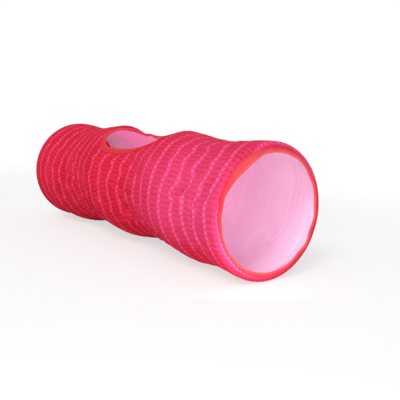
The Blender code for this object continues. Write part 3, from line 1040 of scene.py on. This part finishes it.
def make_tape_finish(name, first, second):
    """Woven tape: ribs across it, from its own stored coordinates in metres."""
    material, tree, shader = new_finish(name, 0.62, specular=0.2)
    along, across, _ = axes(tree, stored(tree, "weave"))
    place = stored(tree, "rest_place")
    x, _, height = axes(tree, place)
    rib = wave(tree, along, RIBS_PER_METRE)
    yarn = wave(tree, across, RIBS_PER_METRE)
    rib_shade = [RIB_SHADE_SHARE * value for value in second]
    painted_shade = [share * value for share, value in zip(PAINTED_SHADE_SHARES, second)]
    painted_highlight = (1.0, 0.5 + 0.5 * first[1], 0.5 + 0.5 * first[2])
    front_top_light = times(tree, spread(tree, x, 0.33, 0.37, 0.0, 0.085),
                         spread(tree, height, 0.15, 0.225))
    uneven = noise(tree, place, 60.0, 3.0)
    colour = painted(tree, blend_colours(tree, uneven, first, second), [
        # painted shade between the ribs
        (spread(tree, rib, -1.0, -0.2, 0.35, 0.0), rib_shade),
        # painted shade along the outer edge, where the tape meets the cover
        (spread(tree, across, 5.0 * MM, 8.2 * MM, 0.0, 0.8), painted_shade),
        # painted highlight along the fold
        (spread(tree, across, 0.2 * MM, 2.6 * MM, 0.10, 0.0), painted_highlight),
        # painted shade away from the front mouth
        (spread(tree, x, 0.15, 0.33, 0.60, 0.0), painted_shade),
        # painted light at the top of the front mouth
        (front_top_light, painted_highlight),
    ])
    raised = maths(tree, "ADD", rib, times(tree, yarn, 0.5))
    finish_with(tree, shader, colour, raised, 0.08 * MM, 0.6)
    return material


binding_finish = make_tape_finish("binding_finish", (0.90, 0.046, 0.066), (0.82, 0.031, 0.049))
tape_finish = make_tape_finish("pink_tape_finish", (0.80, 0.12, 0.30), (0.70, 0.08, 0.22))
print("nodes in a tape's finish:", len(tape_finish.node_tree.nodes))

# %% [markdown]
# ## The metal
# The wire and its crimped sleeves are hidden, but they get drawn and pressed metal, so that the
# parts look right when taken apart. Fine noise makes the scratches that catch the light.

# %% The metal's finish


def make_metal_finish(name, colour, roughness, scale):
    material, tree, shader = new_finish(name, roughness, metallic=1.0)
    place = node(tree, "ShaderNodeTexCoord").outputs["Object"]
    scratches = noise(tree, place, scale, 5.0, 0.7)
    tone = blend_colours(tree, scratches, colour, [0.8 * value for value in colour])
    rough = spread(tree, scratches, 0.3, 0.7, roughness - 0.08, roughness + 0.10)
    tree.links.new(rough, shader.inputs["Roughness"])
    finish_with(tree, shader, tone, scratches, 0.05 * MM, 0.4)
    return material


steel_finish = make_metal_finish("spring_steel_finish", (0.45, 0.45, 0.47), 0.35, 900.0)
aluminium_finish = make_metal_finish("aluminium_finish", (0.70, 0.70, 0.72), 0.40, 500.0)
print("finishes:", len(bpy.data.materials))

# %% [markdown]
# ## The cover
# The cover is made in three pieces: the long body between the hoops, whose real cloth folds up as
# the tunnel is pushed together, and a collar at each mouth, which stays round its own hoop. They
# meet where the cloth passes into the hoop's channel, and share the same surface there, so no line
# shows.

# %% A collar at a mouth
COLLAR_ROWS = 22
GATHER_REACH = 12 * MM


def collar_place(side, depth=0.0):
    """Points of a collar at one mouth, with the small gathers growing towards its edge."""
    def place(x, angle, drop):
        grown = smooth(drop / GATHER_REACH)
        share = turned_in(angle)
        pulled_back = GATHER_REACH * (1 - share) * grown
        gathered = side * (x - pulled_back) + mouth_waves(angle, side) * grown
        closer = (MOUTH_DROP * share - depth) / (MOUTH_DROP - depth)
        return cloth_point(gathered, angle, drop * closer, depth)
    return place


def make_collar(name, side, profile, depth, columns, thickness, material):
    def weave(x, angle, length):
        return weave_cells(side * x, angle, side * length)

    line, lengths = curve_through(profile, COLLAR_ROWS)
    piece = sleeve(name, line[:, 0], line[:, 1], BODY_END + lengths, columns,
                   collar_place(side, depth), weave, material)
    if side < 0:
        piece.data.flip_normals()
    thicken(piece, thickness)


# %% The cover's body and collars
COVER_COLUMNS = 264
COVER_ROWS = 272
body_x = np.linspace(-BODY_END, BODY_END, COVER_ROWS)
cover_body = sleeve("cover_body", body_x, np.zeros_like(body_x), body_x, COVER_COLUMNS,
                    cloth_point, weave_cells, cover_finish, hole=True)
thicken(cover_body, COVER_THICKNESS)
for end, side in SIDES.items():
    make_collar(f"{end}_mouth_cover", side, COVER_MOUTH, 0.0, COVER_COLUMNS, COVER_THICKNESS,
                cover_finish)
print("cover body:", len(cover_body.data.polygons), "faces")

# %% [markdown]
# ## The lining
# The lining is made the same way, from the same functions, at its own depth below the cover. It
# has fewer faces, because it is smoother.

# %% The lining's body and collars
LINING_COLUMNS = 192
LINING_ROWS = 224


def lining_place(x, angle, drop):
    return cloth_point(x, angle, drop, lining_depth(x, angle))


lining_x = np.linspace(-BODY_END, BODY_END, LINING_ROWS)
lining_body = sleeve("lining_body", lining_x, np.zeros_like(lining_x), lining_x, LINING_COLUMNS,
                     lining_place, lining_cells, lining_finish, hole=True)
thicken(lining_body, LINING_THICKNESS)
for end, side in SIDES.items():
    make_collar(f"{end}_mouth_lining", side, LINING_MOUTH, LINING_AT_HOOP, LINING_COLUMNS,
                LINING_THICKNESS, lining_finish)
print("lining body:", len(lining_body.data.polygons), "faces")

# %% [markdown]
# ## The bindings
# A binding is a tape folded over the raw edges of both sleeves and sewn through. Its section is a
# U with two puffed lobes on the outside and a groove between them, where the stitches pull it
# down. The section is drawn once and swept along the two mouths and round the peephole. Each
# point of it says how far it lies from the raw edge, on which cloth's face it lies, and how far
# it stands off that face.

# %% The folded tape's section
# Distance in from the raw edge in mm, face (0 cover, 1 lining), height off that face in mm
TAPE_SECTION = [
    (8.7, 0.0, 0.10), (8.6, 0.0, 0.65), (8.0, 0.0, 1.05), (7.2, 0.0, 1.20), (6.3, 0.0, 1.10),
    (5.5, 0.0, 0.80), (5.0, 0.0, 0.60), (4.5, 0.0, 0.62), (3.8, 0.0, 0.95), (2.8, 0.0, 1.35),
    (1.6, 0.0, 1.55), (0.4, 0.0, 1.45), (-0.7, 0.1, 1.05), (-1.5, 0.3, 0.50), (-1.8, 0.5, 0.0),
    (-1.5, 0.7, 0.50), (-0.7, 0.9, 1.00), (0.5, 1.0, 1.25), (2.0, 1.0, 1.20), (3.6, 1.0, 0.90),
    (5.0, 1.0, 0.65), (6.4, 1.0, 0.95), (7.8, 1.0, 0.95), (8.6, 1.0, 0.60), (8.7, 1.0, 0.10),
    (7.0, 1.0, 0.08), (4.0, 1.0, 0.08), (1.0, 1.0, 0.10), (-0.3, 0.8, 0.10), (-0.6, 0.5, 0.0),
    (-0.3, 0.2, 0.10), (1.0, 0.0, 0.08), (4.0, 0.0, 0.08), (7.0, 0.0, 0.08),
]


def closed_faces(rows, columns):
    """Faces of a grid that closes both ways."""
    i, j = np.meshgrid(np.arange(rows), np.arange(columns), indexing="ij")
    i = i.ravel()
    j = j.ravel()
    right = (j + 1) % columns
    down = (i + 1) % rows
    return np.stack([i * columns + j, i * columns + right, down * columns + right,
                     down * columns + j], 1)


def face_outwards(piece):
    """Turns the faces of a closed piece so that they all look out."""
    build = bmesh.new()
    build.from_mesh(piece.data)
    bmesh.ops.recalc_face_normals(build, faces=build.faces)
    build.to_mesh(piece.data)
    build.free()


def fold_tape(name, faces_at, lengths, width_share):
    """Sweeps the section along an edge. faces_at gives both cloths' faces and the way out."""
    rows = []
    for inwards, face, height in TAPE_SECTION:
        distance = inwards * MM * (width_share if inwards > 0 else np.ones_like(width_share))
        front, back, outwards = faces_at(distance)
        lift = height * MM * (1 - 2 * face)
        rows.append(front + (back - front) * face + outwards * lift)
    points = np.stack(rows, 1)
    count, columns = points.shape[:2]
    piece = add_piece(name, points, closed_faces(count, columns), binding_finish)
    across = np.array([inwards * MM for inwards, _, _ in TAPE_SECTION])
    flat = np.stack([np.repeat(lengths, columns), np.tile(across, count),
                     np.zeros(count * columns)], 1)
    store_places(piece, flat, points)
    face_outwards(piece)


print("points in the tape's section:", len(TAPE_SECTION))

# %% [markdown]
# Round a mouth the tape follows the collar's own section, so its place is looked up there. It is
# sewn on by hand and comes out wider at some angles than at others.

# %% Bindings at the mouths
MOUTH_STEPS = 300
SECTION_STEPS = 80
BEYOND_EDGE = 3 * MM
mouth_angles = np.linspace(-math.pi, math.pi, MOUTH_STEPS, endpoint=False)
mouth_widths = 0.86 + humps(np.degrees(mouth_angles), [
    (-0.20, -8, 32), (0.36, 75, 42), (0.36, 37, 20), (-0.42, 114, 32),
])


def mouth_face(side, profile, depth, inwards):
    """A ring of points on a collar's face, at distances in from its raw edge."""
    line, lengths = curve_through(profile, SECTION_STEPS)
    step = (line[-1] - line[-2]) / np.linalg.norm(line[-1] - line[-2])
    line = np.concatenate([line, [line[-1] + step * BEYOND_EDGE]])
    from_edge = lengths[-1] - np.append(lengths, lengths[-1] + BEYOND_EDGE)
    x = np.interp(inwards, from_edge[::-1], line[::-1, 0])
    drop = np.interp(inwards, from_edge[::-1], line[::-1, 1])
    return collar_place(side, depth)(x, mouth_angles, drop)


def mouth_faces(side):
    def faces_at(inwards):
        front = mouth_face(side, COVER_MOUTH, 0.0, inwards)
        back = mouth_face(side, LINING_MOUTH, LINING_AT_HOOP + LINING_THICKNESS, inwards)
        kept = np.maximum(inwards, 0)
        inner = mouth_face(side, COVER_MOUTH, 0.0, kept + 0.5 * MM)
        along = mouth_face(side, COVER_MOUTH, 0.0, kept) - inner
        radial = np.stack([np.zeros_like(mouth_angles), -np.sin(mouth_angles),
                           np.cos(mouth_angles)], 1)
        outwards = np.cross(along, np.cross([1.0, 0, 0], radial))
        outwards /= np.linalg.norm(outwards, axis=1)[:, None]
        outwards *= np.sign(outwards[:, :1] * side)
        return front, back, outwards
    return faces_at


mouth_lengths = (mouth_angles + math.pi) * COVER_RADIUS
for end, side in SIDES.items():
    fold_tape(f"{end}_mouth_binding", mouth_faces(side), mouth_lengths, mouth_widths)
width = TAPE_SECTION[0][0]
print(f"binding {width * mouth_widths.min():.0f} to {width * mouth_widths.max():.0f} mm wide")

# %% [markdown]
# Round the peephole the tape lies flat on the cloth. It is wide on the near side and at the back
# of the far side, and narrow round the tip.

# %% The binding round the peephole
HOLE_STEPS = 300
hole_turns = np.linspace(0, FULL_TURN, HOLE_STEPS, endpoint=False)
hole_widths = 0.82 + humps(np.degrees(hole_turns), [
    (1.30, 102, 36), (0.30, 228, 28), (-0.34, 290, 30),
])
hole_widths -= 0.24 * np.clip(np.cos(hole_turns), 0, 1) ** 6


def hole_faces(out):
    x, angle = peephole_point(hole_turns, out)
    front = cloth_point(x, angle)
    back = cloth_point(x, angle, 0.0, lining_depth(x, angle) + LINING_THICKNESS)
    outwards = np.stack([np.zeros_like(x), -np.sin(angle), np.cos(angle)], 1)
    return front, back, outwards


hole_edge = hole_faces(0.0)[0]
hole_lengths = np.cumsum(np.linalg.norm(hole_edge - np.roll(hole_edge, 1, 0), axis=1))
fold_tape("peephole_tape", hole_faces, hole_lengths, hole_widths)
print(f"peephole binding {hole_lengths[-1]:.2f} m long")

# %% [markdown]
# ## Stitches
# A lockstitch shows as a row of short, plump dashes that sink at both ends. Each dash here is a
# stretched ball, set in the binding's groove at an even pitch. All the dashes of one row are one
# mesh, because they are one thread.

# %% Rows of stitches
STITCH_PITCH = 3.4 * MM
STITCH_LENGTH = 2.7 * MM
THREAD_RADIUS = 0.33 * MM
STITCH_LINE = 4.75 * MM
STITCH_HEIGHT = 0.72 * MM


def ball():
    """A small ball to copy: its points and its faces."""
    build = bmesh.new()
    bmesh.ops.create_icosphere(build, subdivisions=2, radius=1)
    points = np.array([point.co for point in build.verts])
    faces = np.array([[point.index for point in face.verts] for face in build.faces])
    build.free()
    return points, faces


def unit(rows):
    return rows / np.linalg.norm(rows, axis=1)[:, None]


def stitch_row(name, faces_at, width_share):
    """Stitches in a binding's groove, each lying along it and sunk at both ends."""
    front, _, outwards = faces_at(STITCH_LINE * width_share)
    line = front + outwards * STITCH_HEIGHT
    line = np.concatenate([line, line[:1]])
    outwards = np.concatenate([outwards, outwards[:1]])
    lengths = np.concatenate([[0], np.cumsum(np.linalg.norm(np.diff(line, axis=0), axis=1))])
    count = int(lengths[-1] / STITCH_PITCH)
    middles = (np.arange(count) + 0.5) * lengths[-1] / count

    def at(distance, values):
        return np.stack([np.interp(distance, lengths, values[:, k]) for k in range(3)], 1)

    ahead = unit(at(middles + STITCH_LENGTH / 2, line) - at(middles - STITCH_LENGTH / 2, line))
    sideways = unit(np.cross(at(middles, outwards), ahead))
    up = np.cross(ahead, sideways)
    points, faces = ball()
    scaled = points * [STITCH_LENGTH / 2, THREAD_RADIUS, THREAD_RADIUS]
    placed = at(middles, line)[:, None] + sum(
        scaled[None, :, k:k + 1] * way[:, None] for k, way in enumerate((ahead, sideways, up)))
    every = (faces[None] + np.arange(count)[:, None, None] * len(points)).reshape(-1, 3)
    piece = add_piece(name, placed, every, binding_finish)
    flat = np.stack([np.repeat(middles, len(points)) + np.tile(scaled[:, 0], count),
                     np.tile(scaled[:, 1], count), np.zeros(count * len(points))], 1)
    store_places(piece, flat, placed)
    return count


for end, side in SIDES.items():
    mouth_stitches = stitch_row(f"{end}_mouth_stitches", mouth_faces(side), mouth_widths)
hole_stitches = stitch_row("peephole_stitches", hole_faces, hole_widths)
print(f"{mouth_stitches} stitches round a mouth, {hole_stitches} round the peephole")

# %% [markdown]
# ## The spring wire and its tapes
# The wire lies between the two sleeves, so only its ridge shows. It is one wire in the model, and
# three pieces here: the two hoops ride on their ends, and the spiral lies between them, where the
# real one folds up. Each is a curve with a round bevel, turned into a mesh.

# %% The wire
WIRE_RADIUS = 1.0 * MM
ferrule_low, ferrule_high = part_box("front_ferrule")
HOOP_WIRE_RADIUS = (ferrule_low.z + ferrule_high.z) / 2 - AXIS_HEIGHT
SPIRAL_WIRE_RADIUS = COVER_RADIUS - COVER_THICKNESS - WIRE_RADIUS - 0.3 * MM
RISE_LENGTH = 50 * MM
TIP_OFFSET = 2.45 * MM
TIP_EASE_ANGLE = math.radians(45)
WIRE_STEP = math.radians(3)


def wire_place(angle):
    """Points on the wire's centre line, its hoops and laid ends included."""
    last = FULL_TURN * SPIRAL_TURNS
    front_half = angle > last / 2
    mirrored = np.where(front_half, last - angle, angle)
    laid = 1 - smooth((mirrored + FULL_TURN - WIRE_START) / TIP_EASE_ANGLE)
    x = spiral_x(mirrored) - TIP_OFFSET * laid
    x = np.where(front_half, -x, x)
    risen = smooth((HOOP_PLACE - np.abs(x)) / RISE_LENGTH)
    radius = HOOP_WIRE_RADIUS + (SPIRAL_WIRE_RADIUS - HOOP_WIRE_RADIUS) * risen
    return np.stack([x, -radius * np.sin(angle),
                     AXIS_HEIGHT + bowed(x) + radius * np.cos(angle)], 1)


def wire_piece(name, points):
    curve = bpy.data.curves.new(name, "CURVE")
    curve.dimensions = "3D"
    spline = curve.splines.new("POLY")
    spline.points.add(len(points) - 1)
    spline.points.foreach_set("co", np.pad(points, ((0, 0), (0, 1)), constant_values=1).ravel())
    curve.bevel_depth = WIRE_RADIUS
    curve.bevel_resolution = 2
    curve.use_fill_caps = True
    curve.materials.append(steel_finish)
    bent = add_object(name, curve)
    mesh = applied(bent)
    bpy.data.objects.remove(bent)
    keep_piece(name, mesh)


wire_angles = np.arange(-FULL_TURN - WIRE_START, FULL_TURN * (SPIRAL_TURNS + 1) + WIRE_START,
                        WIRE_STEP)
wire_points = wire_place(wire_angles)
in_body = np.abs(wire_points[:, 0]) <= BODY_END + 3 * MM
first_in = int(np.argmax(in_body))
last_in = len(in_body) - int(np.argmax(in_body[::-1])) - 1
wire_piece("spiral_wire", wire_points[first_in:last_in + 1])
wire_piece("back_hoop_wire", wire_points[:first_in + 1])
wire_piece("front_hoop_wire", wire_points[last_in:])
print("wire points:", len(wire_points))

# %% [markdown]
# The wire's channel is closed by a tape underneath it. The tapes are flat bands, made like the
# sleeves from a small grid, and thickened the same way. One more lies over the lengthwise seam.

# %% A band of tape
TAPE_THICKNESS = 0.5 * MM


def band_piece(name, flat, depth, material):
    """A band from a grid of flat places, an array of rows by columns by two."""
    rows, columns = flat.shape[:2]
    points = cloth_point(flat[..., 0], flat[..., 1], 0.0, depth)
    index = np.arange(rows * columns).reshape(rows, columns)
    faces = np.stack([index[:-1, :-1], index[:-1, 1:], index[1:, 1:], index[1:, :-1]], -1)
    piece = add_piece(name, points, faces.reshape(-1, 4), material)
    around = flat[..., 1] * COVER_RADIUS
    store_places(piece, np.stack([around, flat[..., 0], np.zeros_like(around)], -1), points)
    face = piece.data.polygons[0]
    if face.normal.dot(Vector((0, face.center.y, face.center.z - AXIS_HEIGHT))) < 0:
        piece.data.flip_normals()
    thicken(piece, TAPE_THICKNESS)


# %% The tapes under the wire and along the seam
CASING_WIDTH = 14 * MM
SEAM_WIDTH = 8 * MM
ACROSS_STEPS = 5
SPIRAL_TAPE_STEP = math.radians(4)
SPIRAL_TAPE_DEPTH = COVER_THICKNESS + 2 * WIRE_RADIUS + 0.5 * MM
HOOP_TAPE_DEPTH = LINING_AT_HOOP - TAPE_THICKNESS - 0.1 * MM


def spiral_tape_flat():
    angles = np.arange(WIRE_START, FULL_TURN * SPIRAL_TURNS - WIRE_START, SPIRAL_TAPE_STEP)
    middle_x = spiral_x(angles)
    kept = np.abs(middle_x) < CREST_END - 1.5 * CASING_WIDTH - 1 * MM
    x = middle_x[kept][:, None] + np.linspace(-CASING_WIDTH / 2, CASING_WIDTH / 2, ACROSS_STEPS)
    return np.stack([x, np.repeat(angles[kept][:, None], ACROSS_STEPS, 1)], -1)


def hoop_tape_flat(side):
    across = np.linspace(CREST_END - CASING_WIDTH + 0.2 * MM, CREST_END - 1.2 * MM, ACROSS_STEPS)
    x, angle = np.meshgrid(side * across, np.linspace(0, FULL_TURN, 181))
    return np.stack([x, angle], -1)


def seam_tape_flat():
    half = SEAM_WIDTH / 2 / COVER_RADIUS
    x, angle = np.meshgrid(np.linspace(-BODY_END + MM, BODY_END - MM, 160),
                           math.pi + np.linspace(-half, half, ACROSS_STEPS), indexing="ij")
    return np.stack([x, angle], -1)


spiral_flat = spiral_tape_flat()
spiral_depth = SPIRAL_TAPE_DEPTH + (HOOP_TAPE_DEPTH - SPIRAL_TAPE_DEPTH) * near_hoop(
    spiral_flat[..., 0])
band_piece("spiral_tape", spiral_flat, spiral_depth, tape_finish)
for end, side in SIDES.items():
    band_piece(f"{end}_hoop_tape", hoop_tape_flat(side), HOOP_TAPE_DEPTH, tape_finish)
seam_flat = seam_tape_flat()
seam_depth = lining_depth(seam_flat[..., 0], seam_flat[..., 1]) + LINING_THICKNESS + 0.1 * MM
band_piece("lengthwise_seam_tape", seam_flat, seam_depth, lining_finish)
print("pieces made:", len(pieces_made))

# %% [markdown]
# ## What each piece stands for, and how it moves
# The model's own cloth, wire and tapes are replaced by the pieces above. The crimped sleeves keep
# their own shapes and only get a finish. Pieces at the front mouth ride on the front end, which
# slides back along the tunnel. Pieces between the hoops each get a mesh of their own; the real
# cloth and spiral there stack up towards the back hoop.

# %% Replace and ride
STANDS_FOR = {
    "cover_body": ["outer_cover"], "lining_body": ["lining"], "spiral_wire": ["spring_wire"],
    "spiral_tape": ["spiral_casing"], "lengthwise_seam_tape": ["seam_tape"],
    "peephole_tape": ["peephole_binding"], "front_mouth_binding": ["front_binding"],
    "back_mouth_binding": ["back_binding"], "front_hoop_tape": ["front_casing"],
    "back_hoop_tape": ["back_casing"],
}
FOLDING = ["cover_body", "lining_body", "spiral_wire", "spiral_tape", "lengthwise_seam_tape",
           "peephole_tape", "peephole_stitches"]

for name, nodes in STANDS_FOR.items():
    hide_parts(*nodes)
for name, piece in pieces_made.items():
    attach(piece, "front_end" if name.startswith("front_") else "root")
for name in FOLDING:
    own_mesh(pieces_made[name])
for name in ("front_ferrule", "back_ferrule"):
    frame["nodes"][name].material_slots[0].material = aluminium_finish

# %% [markdown]
# ## The sheets of cloth
# Each sheet of cloth was cut once round the tunnel at the hoops' radius, and to its own length
# along it. A collar's length is measured here along its section.


def collar_cut(profile, depth):
    """Length of a collar's cloth across its band, at its mean width."""
    line, _ = curve_through(profile, SECTION_STEPS)
    share = np.mean(turned_in(mouth_angles))
    line[:, 1] *= (MOUTH_DROP * share - depth) / (MOUTH_DROP - depth)
    return float(np.linalg.norm(np.diff(line, axis=0), axis=1).sum())


COVER_CUT = collar_cut(COVER_MOUTH, 0.0)
LINING_CUT = collar_cut(LINING_MOUTH, LINING_AT_HOOP)
print(f"collars: cover {COVER_CUT:.4f} m, lining {LINING_CUT:.4f} m")

# %% [markdown]
# ## The camera
# The camera stands in front of the near side and a little to the right of the mouth, low enough
# to see under the tunnel's belly and high enough to see into the peephole.

# %% The camera
CAMERA_PLACE = Vector((1.1353, -0.6994, 0.3174))
LOOK_AT = Vector((0.181, 0, 0.1169))
CAMERA_ROLL = math.radians(0.569)
FOCAL_LENGTH = 53.58
SENSOR_WIDTH = 36
lens = bpy.data.cameras.new("camera")
lens.lens = FOCAL_LENGTH
lens.sensor_width = SENSOR_WIDTH
camera = add_object("camera", lens)
camera.location = CAMERA_PLACE
aim = (LOOK_AT - CAMERA_PLACE).to_track_quat("-Z", "Y")
camera.rotation_euler = (aim.to_matrix() @ Matrix.Rotation(CAMERA_ROLL, 3, "Z")).to_euler()
bpy.context.scene.camera = camera
print(f"the camera stands {(LOOK_AT - CAMERA_PLACE).length:.2f} m from what it looks at")

# %% [markdown]
# ## The floor and the sky
# The object lies on a white studio floor. The floor has to read as white in the picture while it
# still catches a faint shadow, so part of its colour is a glow that only the camera and
# reflections see, and the glow grows with the distance from the tunnel. Its bounce on the cloth is
# kept apart from its colour in the picture, so that the cloth's underside stays warm.

# %% The floor and the sky
FLOOR_HALF = 12.0
FLOOR_SINK = 0.3 * MM
FLOOR_COLOUR = (0.98, 0.96, 0.96)  # as the camera sees it
FLOOR_BOUNCE = (0.78, 0.62, 0.64)  # as it lights the cloth
GLOW_SHARE = 0.62
GLOW_GROWS = (0.45, 1.1)  # distances where the glow starts to grow and where it is whole
GLOW_STRETCH = (0.55, 1.0, 0.0)


def seen_directly(tree):
    """1 for rays that show the background as such: camera, mirror and glass rays."""
    path = node(tree, "ShaderNodeLightPath")
    first = maths(tree, "MAXIMUM", path.outputs["Is Camera Ray"], path.outputs["Is Glossy Ray"])
    return maths(tree, "MAXIMUM", first, path.outputs["Is Transmission Ray"])


def make_floor():
    material = bpy.data.materials.new("floor")
    material.use_nodes = True
    tree = material.node_tree
    tree.nodes.clear()
    seen = seen_directly(tree)
    tone = blend_colours(tree, seen, FLOOR_BOUNCE, FLOOR_COLOUR)
    matt = node(tree, "ShaderNodeBsdfDiffuse", {"Color": tone})
    glow = node(tree, "ShaderNodeEmission", {"Color": (1, 1, 1, 1), "Strength": 1.0})
    position = node(tree, "ShaderNodeNewGeometry").outputs["Position"]
    squeezed = node(tree, "ShaderNodeVectorMath", {0: position, 1: GLOW_STRETCH},
                    operation="MULTIPLY").outputs[0]
    away = node(tree, "ShaderNodeVectorMath", {0: squeezed}, operation="LENGTH").outputs["Value"]
    share = times(tree, seen, spread(tree, away, *GLOW_GROWS, GLOW_SHARE, 1.0))
    mixed = node(tree, "ShaderNodeMixShader", {0: share, 1: matt.outputs[0], 2: glow.outputs[0]})
    output = node(tree, "ShaderNodeOutputMaterial")
    tree.links.new(mixed.outputs[0], output.inputs[0])
    mesh = bpy.data.meshes.new("floor")
    signs = [(-1, -1), (1, -1), (1, 1), (-1, 1)]
    corners = [(x * FLOOR_HALF, y * FLOOR_HALF, 0) for x, y in signs]
    mesh.from_pydata(corners, [], [(0, 1, 2, 3)])
    mesh.materials.append(material)
    floor = add_object("floor", mesh)
    floor.location.z = -FLOOR_SINK


def make_sky(strength):
    world = bpy.data.worlds.new("sky")
    bpy.context.scene.world = world
    world.use_nodes = True
    tree = world.node_tree
    background = tree.nodes["Background"]
    background.inputs[0].default_value = (1, 1, 1, 1)
    level = spread(tree, seen_directly(tree), 0.0, 1.0, strength, 1.0)
    tree.links.new(level, background.inputs[1])


make_floor()
make_sky(0.55)
print("the floor is", 2 * FLOOR_HALF, "m wide")

# %% [markdown]
# ## The lamps
# A large soft sun from the front right gives the shape, and a weak lamp in front fills the shade.
# Thin cloth glows inside, because light comes through it. Solid meshes here don't let it through,
# so two soft lamps on the axis stand in for that light, and a small one low at the front mouth
# lights the roof of the lining. The camera sees none of the lamps near the tunnel.

# %% The lamps
INNER_LAMP_SIZE = 0.06
INNER_LAMP_RISE = 0.025


def add_lamp(name, kind, place, power, colour, **settings):
    lamp = bpy.data.lights.new(name, kind)
    lamp.energy = power
    lamp.color = colour
    for key, value in settings.items():
        setattr(lamp, key, value)
    lamp_object = add_object(name, lamp)
    lamp_object.visible_camera = False
    lamp_object.location = place
    return lamp_object


def add_disk_lamp(name, place, target, size, power, colour):
    """A round lamp that points at a target."""
    lamp_object = add_lamp(name, "AREA", place, power, colour, shape="DISK", size=size)
    direction = Vector(target) - Vector(place)
    lamp_object.rotation_euler = direction.to_track_quat("-Z", "Y").to_euler()


def add_inner_lamp(name, x, power, colour):
    """A soft lamp on the axis, in place of the light that shines through thin cloth."""
    place = (x, 0, AXIS_HEIGHT + INNER_LAMP_RISE)
    add_lamp(name, "POINT", place, power, colour, shadow_soft_size=INNER_LAMP_SIZE)


def add_sun(name, azimuth, height, angle, strength):
    """A far soft lamp. Its azimuth turns from -Y towards +X, and its height is above the floor."""
    sun = bpy.data.lights.new(name, "SUN")
    sun.angle = math.radians(angle)
    sun.energy = strength
    turn = math.radians(azimuth)
    rise = math.radians(height)
    towards = Vector((math.sin(turn) * math.cos(rise), -math.cos(turn) * math.cos(rise),
                      math.sin(rise)))
    add_object(name, sun).rotation_euler = towards.to_track_quat("Z", "Y").to_euler()


add_sun("key", azimuth=28, height=47, angle=22, strength=1.15)
add_disk_lamp("front_fill", place=(1.20, -0.90, 0.55), target=(0.28, -0.1, 0.12), size=0.5,
              power=4.8, colour=(0.95, 1.0, 1.05))
add_disk_lamp("mouth_glow", place=(0.47, -0.09, 0.02), target=(0.29, 0.02, 0.24), size=0.12,
              power=0.28, colour=(0.95, 1.0, 1.0))
add_inner_lamp("inner_front", x=0.10, power=0.200, colour=(1.0, 0.95, 0.98))
add_inner_lamp("inner_back", x=-0.15, power=0.19, colour=(1.0, 0.20, 0.43))
bpy.context.scene.view_settings.view_transform = "Standard"
print("lamps:", len(bpy.data.lights))
